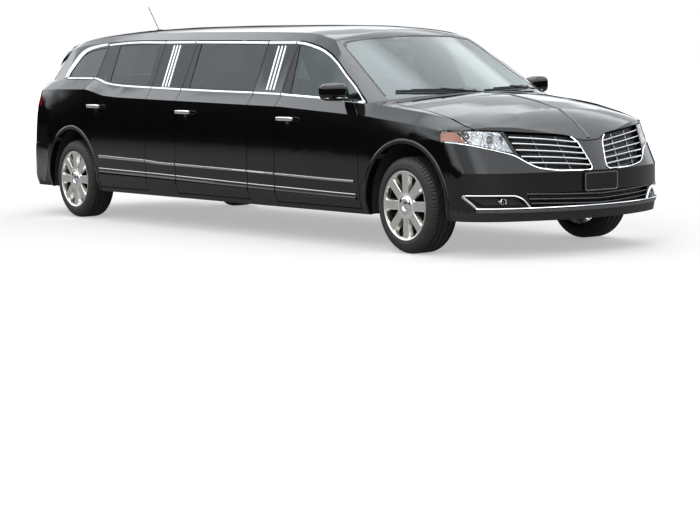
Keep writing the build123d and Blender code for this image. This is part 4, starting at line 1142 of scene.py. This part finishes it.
class OBJECT_OT_limousine_wheels(bpy.types.Operator):
    """Turns the tyres with their tread and the eight-spoke wheels"""

    bl_idname = "object.limousine_wheels"
    bl_label = "Wheels and tyres"

    def execute(self, context):
        sizes = context.scene.limousine_sizes
        tyre, (wheel, index) = tyre_shape(sizes.tread_blocks), wheel_shape(sizes.spokes, sizes.spoke_width)
        for end, y in HUBS.items():
            for side, sign, flip in (("right", -1, as_is), ("left", 1, mirrored)):
                key, body, shift = f"{end}_{side}", f"wheel_{end}_{side}", (sign * WHEEL_X, y, HUB_Z)
                o = add_piece(f"tread_{key}", moved(flip(tyre), shift), "tyre_rubber", body, sharp=30.0)
                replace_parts(o, f"tyre_{key}")
                finishes = (ALLOY, "wheel_well_iron", CHROME)
                o = add_piece(f"wheel_{key}_alloy", moved(flip(wheel), shift), finishes, body, index, 28.0)
                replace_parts(o, f"rim_{key}")
        return {"FINISHED"}


TYRE_HALF = 0.1225
TREAD_LIP = 0.073
SHOULDER_NOTCH = 0.0075
CROWN_NOTCH = 0.003


def around(along, radius, t):
    """Points about X from places along it, radii and angles."""
    return cols(along, radius * np.cos(t), radius * np.sin(t))


def tyre_shape(blocks):
    """Tyre about X: a closed profile of (along, radius) whose crown is cut by four rib grooves, and whose shoulders dip
    at each block edge, r = base - depth * notch(angle)."""
    w = TYRE_HALF
    half = [
        (w - 0.020, 0.2485), (w - 0.009, 0.2535), (w - 0.003, 0.258), (w - 0.001, 0.266), (w + 0.001, 0.276),
        (w - 0.001, 0.281),
        (w - 0.0005, 0.292), (w - 0.003, 0.305), (w - 0.009, 0.319), (w - 0.0165, 0.330), (w - 0.024, 0.3378),
        (w - 0.032, 0.3432),
        (w - 0.041, 0.3468), (0.0725, 0.3488), (0.0720, 0.341), (0.0640, 0.341), (0.0635, 0.3496), (0.0290, 0.3500),
        (0.0285, 0.341), (0.0200, 0.341), (0.0195, 0.3500),
    ]
    profile = np.array(half + [(-a, r) for a, r in reversed(half)])
    n = blocks * 6
    t = np.arange(n)[:, None] / n * 2 * math.pi
    phase = np.arange(n)[:, None] % 6
    along, r = np.abs(profile[:, 0]), profile[:, 1]
    shoulder = (r > 0.325) & (along > TREAD_LIP)
    crown = (r > 0.346) & (along < TREAD_LIP) & (along > 0.028)
    notch = (phase == 0) * np.where(shoulder, SHOULDER_NOTCH, 0.0) + (phase == 3) * np.where(crown, CROWN_NOTCH, 0.0)
    return ring(around(profile[:, 0], r - notch, t))


RIM_HALF = 0.1175
# Sections of the wheel: distance behind its face, radius
RIM_LIP = ((0.0015, 0.2445), (-0.0015, 0.2485), (-0.0010, 0.2515), (0.0040, 0.2525), (0.022, 0.2505))
RIM_WELL = ((0.050, 0.2365), (0.0075, 0.2440), (0.0015, 0.2445))
WHEEL_CAP = (
    (0.0065, 0.0), (0.0068, 0.026), (0.0075, 0.030), (0.0015, 0.034), (-0.0010, 0.040), (-0.0005, 0.052),
    (0.0035, 0.060), (0.0045, 0.072), (0.0095, 0.0765), (0.014, 0.078), (0.030, 0.078), (0.030, 0.0),
)
# How far back the rim keeps its alloy finish before the barrel turns near-black: painted shade
PAINTED_SHADE_DEPTH = 0.03


def wheel_shape(spokes, width):
    """Alloy wheel about X facing -X: parallel spokes, edge angle = asin(width / 2r), with sloping walls beside open
    windows, on a grid of radius and place across the spoke. Gives each face's finish too."""
    w = RIM_HALF
    outer = (0.231, 0.2355, 0.2385, 0.2420, 0.2445)
    radius = np.concatenate(((0.074, 0.090, 0.0985), np.linspace(0.104, 0.226, 13), outer))[:, None]
    half = math.pi / spokes
    edge = np.minimum(np.arcsin(np.minimum(width / 2 / radius, 1)), half * 0.985)
    corner = np.clip((0.2385 - radius) / 0.010, 0, 1) ** 0.5
    edge = np.minimum(edge + (half - edge) * (1 - corner), half * 0.985)
    window = np.clip((radius - 0.100) / 0.012, 0, 1) * np.clip((0.2385 - radius) / 0.008, 0, 1)
    u = np.array((0.0, 0.5, 0.93, 1.0, 1.07, 1.20))
    lean = np.array((0.0, 0.0, 0.0005, 0.003, 0.016, 0.036))
    face = -w + np.interp(radius, (0.074, 0.12, 0.20, 0.236, 0.2445), (0.010, 0.007, 0.0055, 0.0035, 0.0015))
    beyond = np.minimum(edge + (half - edge) * np.minimum(u - 1, 0.9) / 0.9, half)
    angle = np.where(u <= 1, edge * u, beyond)
    depth = face + lean * window
    parts, index = [], []

    def add(part, kind):
        """Adds a part whose faces have one finish."""
        parts.append(part)
        index.extend([kind] * len(part[1]))

    closed = window[:, 0] < 0.02
    for s in range(spokes):
        for sign in (1, -1):
            v, f = lattice(around(depth, radius, 2 * half * s + sign * angle), wrap=False)
            add((v, f if sign < 0 else [q[::-1] for q in f]), 0)
        t = 2 * half * (s + 0.5) + np.array((-1, 1)) * (half - angle[:, -1:])
        v, f = lattice(around(depth[:, -1:], radius, t), wrap=False)
        add((v, [q for i, q in enumerate(f) if closed[i] or closed[i + 1]]), 0)
    rim = (*RIM_LIP, (w, 0.249), (2 * w - 0.02, 0.250), (2 * w - 0.02, 0.240), (w, 0.2365), *RIM_WELL)
    v, f = turned([(-w + a, r) for a, r in rim], 96)
    parts.append((v, f))
    # Rim faces behind that depth, the brake disc and the hub get the near-black finish: painted shade inside the wheel
    index += [int(np.mean([v[i][0] for i in q]) > -w + PAINTED_SHADE_DEPTH) for q in f]
    add(turned(((0.0, 0.0), (0.0, 0.168), (0.014, 0.168), (0.014, 0.0)), 64), 1)
    add(turned(((-0.064, 0.0), (-0.064, 0.080), (0.002, 0.086), (0.002, 0.0)), 48), 1)
    add(turned([(-w + a, r) for a, r in WHEEL_CAP], 64), 2)
    bead = turned(((-0.0030, 0.0), (-0.0022, 0.0026), (0.0, 0.0034), (0.004, 0.0034), (0.004, 0.0)), 8)
    for k in range(spokes * 3):
        t = 2 * math.pi * k / (spokes * 3)
        add(moved(bead, (-w + 0.0075, 0.086 * math.cos(t), 0.086 * math.sin(t))), 2)
    return joined(*parts), index


SEATS = (
    # node, middle x, front edge y, way it faces, width, depth, cushion top, back top, recline, height of zero
    ("front_seats", -0.370, -1.260, 1, 0.520, 0.470, 0.260, 0.860, 0.090, 0.200),
    ("front_seats", 0.370, -1.260, 1, 0.520, 0.470, 0.260, 0.860, 0.090, 0.200),
    ("rear_facing_bench", 0.0, 0.330, -1, 1.500, 0.480, 0.250, 0.760, 0.040, 0.202),
    ("rear_bench", 0.0, 1.500, 1, 1.260, 0.480, 0.250, 0.780, 0.060, 0.202),
)
PAD_INSET = 0.018
PAD_CAP = 0.020
PAD_VOXEL = 0.018
PAD_PRESSURE = 4.0
PAD_FRAMES = 20
CHANNEL_PITCH = 0.092
CHANNEL_DEPTH = 0.011

SEAT_X = 0.370
HEADREST = (-0.640, 1.165)
SIDE_BENCH = (0.689, 0.910)
# Sewn channels of a padded piece: middles, and how far they reach either side
SEWN = {"padded_front_seats": ((-SEAT_X, SEAT_X), 0.145), "padded_side_bench": ((SIDE_BENCH[0],), 0.10)}
SEWN_BENCH = ((0.0,), 0.60)


def wedge(outline, low_x, high_x):
    """Closed prism along X from a (y, z) outline."""
    p = np.array(outline, float)
    n = len(p)
    v = np.concatenate([np.column_stack((np.full(n, x), p)) for x in (low_x, high_x)])
    f = [tuple(range(n))[::-1], tuple(range(n, 2 * n))]
    return v, f + [(k, (k + 1) % n, n + (k + 1) % n, n + k) for k in range(n)]


def seat_parts(middle, edge, way, width, depth, height, top, recline, zero):
    """Cushion and back of a seat, slimmer than the solid by the inset, and the hard base under them."""
    k, lean = PAD_INSET, depth + recline
    cushion = (
        (k, height - 0.102), (k, height - 0.048), (0.050, height - k), (depth - 0.062, height - 0.022 - k),
        (depth - 0.066, height - 0.102),
    )
    back = (
        (depth - 0.024, height - 0.020), (depth + 0.058 + 0.6 * recline, top - 0.042), (lean + 0.060, top - 0.024),
        (lean + 0.088, top - 0.034), (depth + 0.092, height - 0.020),
    )
    base = (
        (depth - 0.040, 0.134), (depth - 0.040, height - 0.050), (depth + 0.100, height - 0.050),
        (depth + 0.114, 0.168), (depth + 0.060, 0.134),
    )
    half = width / 2
    return [
        wedge([(edge + way * a, zero + b) for a, b in outline], middle - half + inset, middle + half - inset)
        for outline, inset in ((cushion, k), (back, k), (base, 0.010))
    ]


def applied(o):
    """Bakes an object's modifiers into its mesh."""
    made = bpy.data.meshes.new_from_object(o.evaluated_get(bpy.context.evaluated_depsgraph_get()))
    o.modifiers.clear()
    o.data = made


def place_vertices(mesh, p):
    """Puts a mesh's vertices at an array of places."""
    mesh.vertices.foreach_set("co", p.astype(np.float32).ravel())
    mesh.update()


def swell(pads):
    """Inflates every pad at once as cloth under pressure, without gravity, and caps how far a point may move."""
    before = [values(o.data.vertices, "co").astype(float) for o in pads]
    for o in pads:
        cloth = o.modifiers.new("swell", "CLOTH")
        cloth.settings.quality = 4
        cloth.settings.use_pressure = True
        cloth.settings.uniform_pressure_force = PAD_PRESSURE
        cloth.settings.effector_weights.gravity = 0.0
        cloth.point_cache.frame_start, cloth.point_cache.frame_end = 1, PAD_FRAMES
    for number in range(1, PAD_FRAMES + 1):
        bpy.context.scene.frame_set(number)
    for o, start in zip(pads, before):
        applied(o)
        shift = values(o.data.vertices, "co").astype(float) - start
        shift *= np.minimum(1, PAD_CAP / np.maximum(np.linalg.norm(shift, axis=1, keepdims=True), 1e-9))
        place_vertices(o.data, start + shift)
    bpy.context.scene.frame_set(1)


def channels(mesh, middles, reach):
    """Sewn channels: faces that a sitter touches sink by depth * |cos(pi (x - middle) / pitch)| ** 8 within reach of
    each middle, and by a seam along their edges."""
    p, n, middles = values(mesh.vertices, "co").astype(float), values(mesh.vertices, "normal"), np.array(middles)
    x = p[:, 0] - middles[np.abs(p[:, :1] - middles).argmin(1)]
    facing = np.clip((np.maximum(n[:, 2], np.abs(n[:, 1])) - 0.55) / 0.3, 0, 1)
    touched = facing * np.clip((reach - np.abs(x)) / 0.02, 0, 1)
    sink = touched * np.abs(np.cos(math.pi * (x + CHANNEL_PITCH / 2) / CHANNEL_PITCH)) ** 8
    seam = 0.8 * facing * np.exp(-(((np.abs(x) - reach - 0.012) / 0.012) ** 2))
    place_vertices(mesh, p - n * (CHANNEL_DEPTH * (sink + seam))[:, None])


class OBJECT_OT_limousine_seats(bpy.types.Operator):
    """Stuffs and sews the front seats, the benches and their headrests"""

    bl_idname = "object.limousine_seats"
    bl_label = "Seats"

    def execute(self, context):
        pads, bases, inset = {}, [], 2 * PAD_INSET
        for name, *sizes in SEATS:
            *soft, base = seat_parts(*sizes)
            pads.setdefault(name, []).extend(soft)
            bases.append(base)
        y, z = HEADREST
        for x in (-SEAT_X, SEAT_X):
            rest = box_of(0.250 - inset, 0.090 - PAD_INSET, 0.150 - inset, 0.020, (x, y, z))
            pads["front_seats"].append(rest)
        pads["side_bench"] = [box_of(0.258 - inset, 1.060 - inset, 0.120, 0.030, (*SIDE_BENCH, 0.622))]
        bases.append(box_of(0.246, 1.040, 0.200, 0.012, (*SIDE_BENCH, 0.435), 2))
        made = []
        for name, parts in pads.items():
            o = add_piece("padded_" + name, joined(*parts), LEATHER)
            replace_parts(o, name)
            voxels = o.modifiers.new("voxels", "REMESH")
            voxels.mode, voxels.voxel_size = "VOXEL", PAD_VOXEL
            applied(o)
            made.append(o)
        swell(made)
        for o in made:
            smooth = o.modifiers.new("smooth", "SUBSURF")
            smooth.levels = smooth.render_levels = 1
            applied(o)
            channels(o.data, *SEWN.get(o.name, SEWN_BENCH))
            o.data.polygons.foreach_set("use_smooth", np.ones(len(o.data.polygons), bool))
            if not o.data.materials:
                o.data.materials.append(finish(LEATHER))
        add_piece("seat_bases", joined(*bases), PLASTIC, sharp=30.0)
        rod = ((-0.030, 0.0), (-0.030, 0.006), (0.030, 0.006), (0.030, 0.0))
        places = [(x + side, y, 1.078) for x in (-SEAT_X, SEAT_X) for side in (-0.055, 0.055)]
        add_piece("headrest_posts", joined(*(turned(rod, 16, p, "z") for p in places)), CHROME)
        return {"FINISHED"}


CARDS = (
    # first y, last y of the card's fittings, middle of the grip
    (-1.860, -1.080, -1.350), (-0.400, 0.420, 0.150), (1.200, 1.760, 1.550),
)
SPEAKER = (
    (-0.002, 0.0), (0.006, 0.0), (0.010, 0.012), (0.004, 0.022), (0.003, 0.052), (0.009, 0.058), (0.012, 0.066),
    (0.010, 0.074), (-0.002, 0.076),
)
PILLAR_FACE = -0.866
PILLARS = (-0.730, 0.824)
# Blocks on the dashboard: width, length, height, radius, place
DASH_HOOD = (
    (0.340, 0.150, 0.050, 0.020, (SEAT_X, -1.760, 1.095)), (1.380, 0.016, 0.016, 0.006, (0.0, -1.646, 0.905)),
)
DASH_VENTS = [(0.110, 0.012, 0.050, 0.004, (x, -1.651, 0.960)) for x in (-0.620, -0.180, 0.180, 0.620)]
DASH_SCREENS = (
    (0.210, 0.010, 0.110, 0.004, (0.0, -1.650, 0.975)), (0.280, 0.008, 0.080, 0.004, (SEAT_X, -1.682, 1.085)),
)


class OBJECT_OT_limousine_cabin(bpy.types.Operator):
    """Fits door cards, pillar trims, speakers, dials, the screen and the mirror inside the cabin"""

    bl_idname = "object.limousine_cabin"
    bl_label = "Cabin fittings"

    def execute(self, context):
        caps, rests, pulls, cones, marks = [], [], [], [], []
        for door, (first, last, grip) in zip(DOORS, CARDS):
            path = cols(-0.853, np.linspace(first, last, 40), 0.918)
            caps.append((door, sweep(path, rounded(0.016, 0.034, 0.007))))
            y = np.linspace(grip - 0.24, grip + 0.24, 30)
            path = cols(-0.842, y, 0.690 + 0.030 * np.exp(-(((y - grip + 0.24) / 0.12) ** 2)))
            rests.append((door, sweep(path, rounded(0.060, 0.070, 0.026))))
            y = np.linspace(grip - 0.11, grip + 0.11, 16)
            path = cols(-0.822 - 0.016 * ((y - grip) / 0.11) ** 4, y, 0.800)
            pulls.append((door, sweep(path, rounded(0.020, 0.026, 0.009))))
            cones.append((door, turned(SPEAKER, 48, (-0.872, first + 0.150, 0.500))))
            marks.append((door, box_of(0.006, 0.070, 0.026, 0.002, (-0.871, last - 0.060, 0.430))))
        side_pieces("door_cap", caps, SILVER)
        side_pieces("armrest", rests, LEATHER)
        side_pieces("door_pull", pulls, SILVER)
        side_pieces("door_speaker", cones, PLASTIC)
        side_pieces("door_reflector", marks, "door_reflector")
        panels = [box_of(0.012, 0.250, 0.560, 0.004, (PILLAR_FACE, y, 0.740)) for y in PILLARS]
        add_piece("pillar_trims", both(joined(*panels)), SILVER)
        cones = [turned(SPEAKER, 48, (PILLAR_FACE + 0.006, y, 0.840)) for y in PILLARS]
        add_piece("pillar_speakers", both(joined(*cones)), PLASTIC)
        add_piece("dash_hood", joined(*(box_of(*sizes) for sizes in DASH_HOOD)), PLASTIC)
        add_piece("dash_vents", joined(*(box_of(*sizes) for sizes in DASH_VENTS)), SILVER)
        add_piece("dash_screens", joined(*(box_of(*sizes) for sizes in DASH_SCREENS)), "dark_screen")
        head = box_of(0.250, 0.028, 0.068, 0.012, (0.0, -1.440, 1.440), 4)
        stem = blade(((0.0, -1.445, 1.462), (0.0, -1.446, 1.490), (0.0, -1.440, 1.512)), 0.014, 0.014, (1, 0, 0))
        add_piece("cabin_mirror", joined(head, stem), PLASTIC)
        coat(LEATHER, "steering_wheel")
        return {"FINISHED"}


FLOOR_HALF = 60.0
LAMPS = (
    # name, place, what it points at, size, power
    ("soft_overhead", (0.0, 0.0, 7.5), (0, 0, 0), (9.0, 12.0), 150.0),
    ("soft_key", (-9.0, -9.0, 6.0), (0.0, -0.5, 0.8), (5.0, 5.0), 420.0),
    ("soft_rear", (7.0, 9.0, 5.0), (0.0, 0.5, 0.8), (5.0, 5.0), 260.0),
)
CAMERA_PLACE = (-10.1039, -14.7532, 1.5241)
CAMERA_TURN = (0.618742, 0.103264, -0.0222935)
CAMERA_LENS, SENSOR_WIDTH = 109.24, 36.0
WHITE, BLACK = (1, 1, 1, 1), (0, 0, 0, 1)
SKY_LEVELS = (
    # degrees above the level, how bright gloss sees it
    (-1.0, 0.005), (2.5, 0.01), (5.0, 0.05), (7.5, 1.2), (9.5, 1.95), (13.0, 1.95), (16.0, 1.15), (25.0, 1.3),
    (28.5, 2.8), (33.0, 2.9), (37.0, 2.3), (52.0, 2.0), (58.0, 4.5), (70.0, 4.9),
)
SKY_TONE = (0.193, 0.2, 0.207)


class OBJECT_OT_limousine_studio(bpy.types.Operator):
    """Sets the pale floor, the soft lamps and the camera"""

    bl_idname = "object.limousine_studio"
    bl_label = "Studio"

    def execute(self, context):
        scene = context.scene

        def put(name, data):
            """Links a new object that holds data."""
            o = bpy.data.objects.new(name, data)
            scene.collection.objects.link(o)
            return o

        floor, s = bpy.data.meshes.new("studio_floor"), FLOOR_HALF
        floor.from_pydata([(-s, -s, 0), (s, -s, 0), (s, s, 0), (-s, s, 0)], [], [(0, 1, 2, 3)])
        put("studio_floor", floor)
        floor.materials.append(bpy.data.materials.new("pale_floor"))
        floor.materials[0].use_nodes = True
        studio_floor(floor.materials[0].node_tree)
        scene.world = bpy.data.worlds.new("studio_air")
        scene.world.use_nodes = True
        studio_air(scene.world.node_tree)
        for name, place, target, area, power in LAMPS:
            lamp = bpy.data.lights.new(name, "AREA")
            lamp.shape = "RECTANGLE"
            lamp.size, lamp.size_y = area
            lamp.energy = power
            o = put(name, lamp)
            o.visible_glossy = False
            o.location = place
            o.rotation_euler = (Vector(target) - Vector(place)).to_track_quat("-Z", "Y").to_euler()
        camera = bpy.data.cameras.new("camera")
        camera.sensor_width = SENSOR_WIDTH
        camera.lens = CAMERA_LENS
        camera.clip_end = 200.0
        o = scene.camera = put("camera", camera)
        o.location = CAMERA_PLACE
        o.rotation_mode = "QUATERNION"
        o.rotation_quaternion = photo_view(*CAMERA_TURN)
        scene.view_settings.view_transform = "Standard"
        return {"FINISHED"}


def photo_view(yaw, pitch, roll):
    """Camera turn from yaw about Z, pitch down and roll, built from its right, up and back vectors."""
    ahead = np.array((math.sin(yaw) * math.cos(pitch), math.cos(yaw) * math.cos(pitch), -math.sin(pitch)))
    right = np.array((math.cos(yaw), -math.sin(yaw), 0.0))
    up = np.cross(right, ahead)
    side = right * math.cos(roll) + up * math.sin(roll)
    top = -right * math.sin(roll) + up * math.cos(roll)
    return Matrix(np.stack((side, top, -ahead), -1).tolist()).to_quaternion()


def seen(t):
    """Whether a ray comes from the eye or through glass, and the node that tells rays apart."""
    path = node(t, "LightPath", "Is Camera Ray").node
    return maths(t, "MAXIMUM", path.outputs["Is Camera Ray"], path.outputs["Is Transmission Ray"]), path


def studio_floor(t):
    """Pale floor: a diffuse surface that keeps the shadow, with white added as seen by the eye or through glass. Gloss
    sees less of it: near = 0.2 of the white, and it darkens with distance."""
    t.nodes.clear()
    reach = node(t, "VectorMath", "Value", {0: node(t, "TexCoord", "Object")}, operation="LENGTH")
    direct, path = seen(t)
    gloss = path.outputs["Is Glossy Ray"]
    far = ranged(t, reach, {"From Min": 11.0, "From Max": 30.0, "To Max": 0.95})
    dim = maths(t, "MULTIPLY", far, gloss)
    pale = blend(t, path.outputs["Is Camera Ray"], (0.42, 0.42, 0.42, 1), (0.85, 0.85, 0.85, 1))
    matt = node(t, "BsdfDiffuse", "BSDF", {"Color": blend(t, dim, pale, BLACK)})
    near = maths(t, "SUBTRACT", gloss, dim)
    fade = ranged(t, reach, {"From Min": 4.5, "From Max": 14.0, "To Min": 0.42})
    power = maths(t, "MULTIPLY", maths(t, "MULTIPLY_ADD", near, 0.2, direct), fade)
    glow = node(t, "Emission", "Emission", {"Strength": power})
    feed(t, t.nodes.new("ShaderNodeOutputMaterial"), {"Surface": node(t, "AddShader", "Shader", {0: matt, 1: glow})})


def studio_air(t):
    """Backdrop: white to the eye and through glass; gloss sees a sky that brightens upwards, and matt surfaces get an
    even soft fill."""
    t.nodes.clear()
    height = node(t, "SeparateXYZ", "Z", {"Vector": node(t, "TexCoord", "Generated")})
    sky = node(t, "ValToRGB", "Color", {"Fac": ranged(t, height, {"From Min": -1.0})})
    ramp = sky.node.color_ramp
    ramp.elements[0].color = (0.002, 0.002, 0.002, 1)
    ramp.elements[1].color = (0.60, 0.61, 0.62, 1)
    for elevation, level in SKY_LEVELS:
        e = ramp.elements.new((math.sin(math.radians(elevation)) + 1) / 2)
        e.color = (*(level * c for c in SKY_TONE), 1)
    gloss = node(t, "Background", "Background", {"Color": sky, "Strength": 5.0})
    fill = node(t, "Background", "Background", {"Color": WHITE, "Strength": 0.45})
    white = node(t, "Background", "Background", {"Color": WHITE})
    direct, path = seen(t)
    soft = node(t, "MixShader", "Shader", {"Fac": path.outputs["Is Glossy Ray"], 1: fill, 2: gloss})
    last = node(t, "MixShader", "Shader", {"Fac": direct, 1: soft, 2: white})
    feed(t, t.nodes.new("ShaderNodeOutputWorld"), {"Surface": last})


OPERATORS = (
    OBJECT_OT_limousine_skin, OBJECT_OT_limousine_glass, OBJECT_OT_limousine_trim, OBJECT_OT_limousine_front,
    OBJECT_OT_limousine_rear, OBJECT_OT_limousine_arches, OBJECT_OT_limousine_wheels, OBJECT_OT_limousine_seats,
    OBJECT_OT_limousine_cabin, OBJECT_OT_limousine_studio,
)


class VIEW3D_PT_limousine(bpy.types.Panel):
    """Lists the limousine's sizes, colours and pieces"""

    bl_label = "Limousine"
    bl_space_type = "VIEW_3D"
    bl_region_type = "UI"
    bl_category = "Limousine"

    def draw(self, context):
        for group in (context.scene.limousine_sizes, context.scene.limousine_colours):
            for key in group.__annotations__:
                self.layout.prop(group, key)
        for operator in OPERATORS:
            self.layout.operator(operator.bl_idname)


CLASSES = (LimousineSizes, LimousineColours, *OPERATORS, VIEW3D_PT_limousine)


def register():
    for c in CLASSES:
        bpy.utils.register_class(c)
    bpy.types.Scene.limousine_sizes = PointerProperty(type=LimousineSizes)
    bpy.types.Scene.limousine_colours = PointerProperty(type=LimousineColours)


def unregister():
    del bpy.types.Scene.limousine_sizes, bpy.types.Scene.limousine_colours
    for c in reversed(CLASSES):
        bpy.utils.unregister_class(c)


def main():
    """Makes every piece in order."""
    register()
    for operator in OPERATORS:
        space, name = operator.bl_idname.split(".")
        getattr(getattr(bpy.ops, space), name)()


if __name__ == "__main__":
    main()
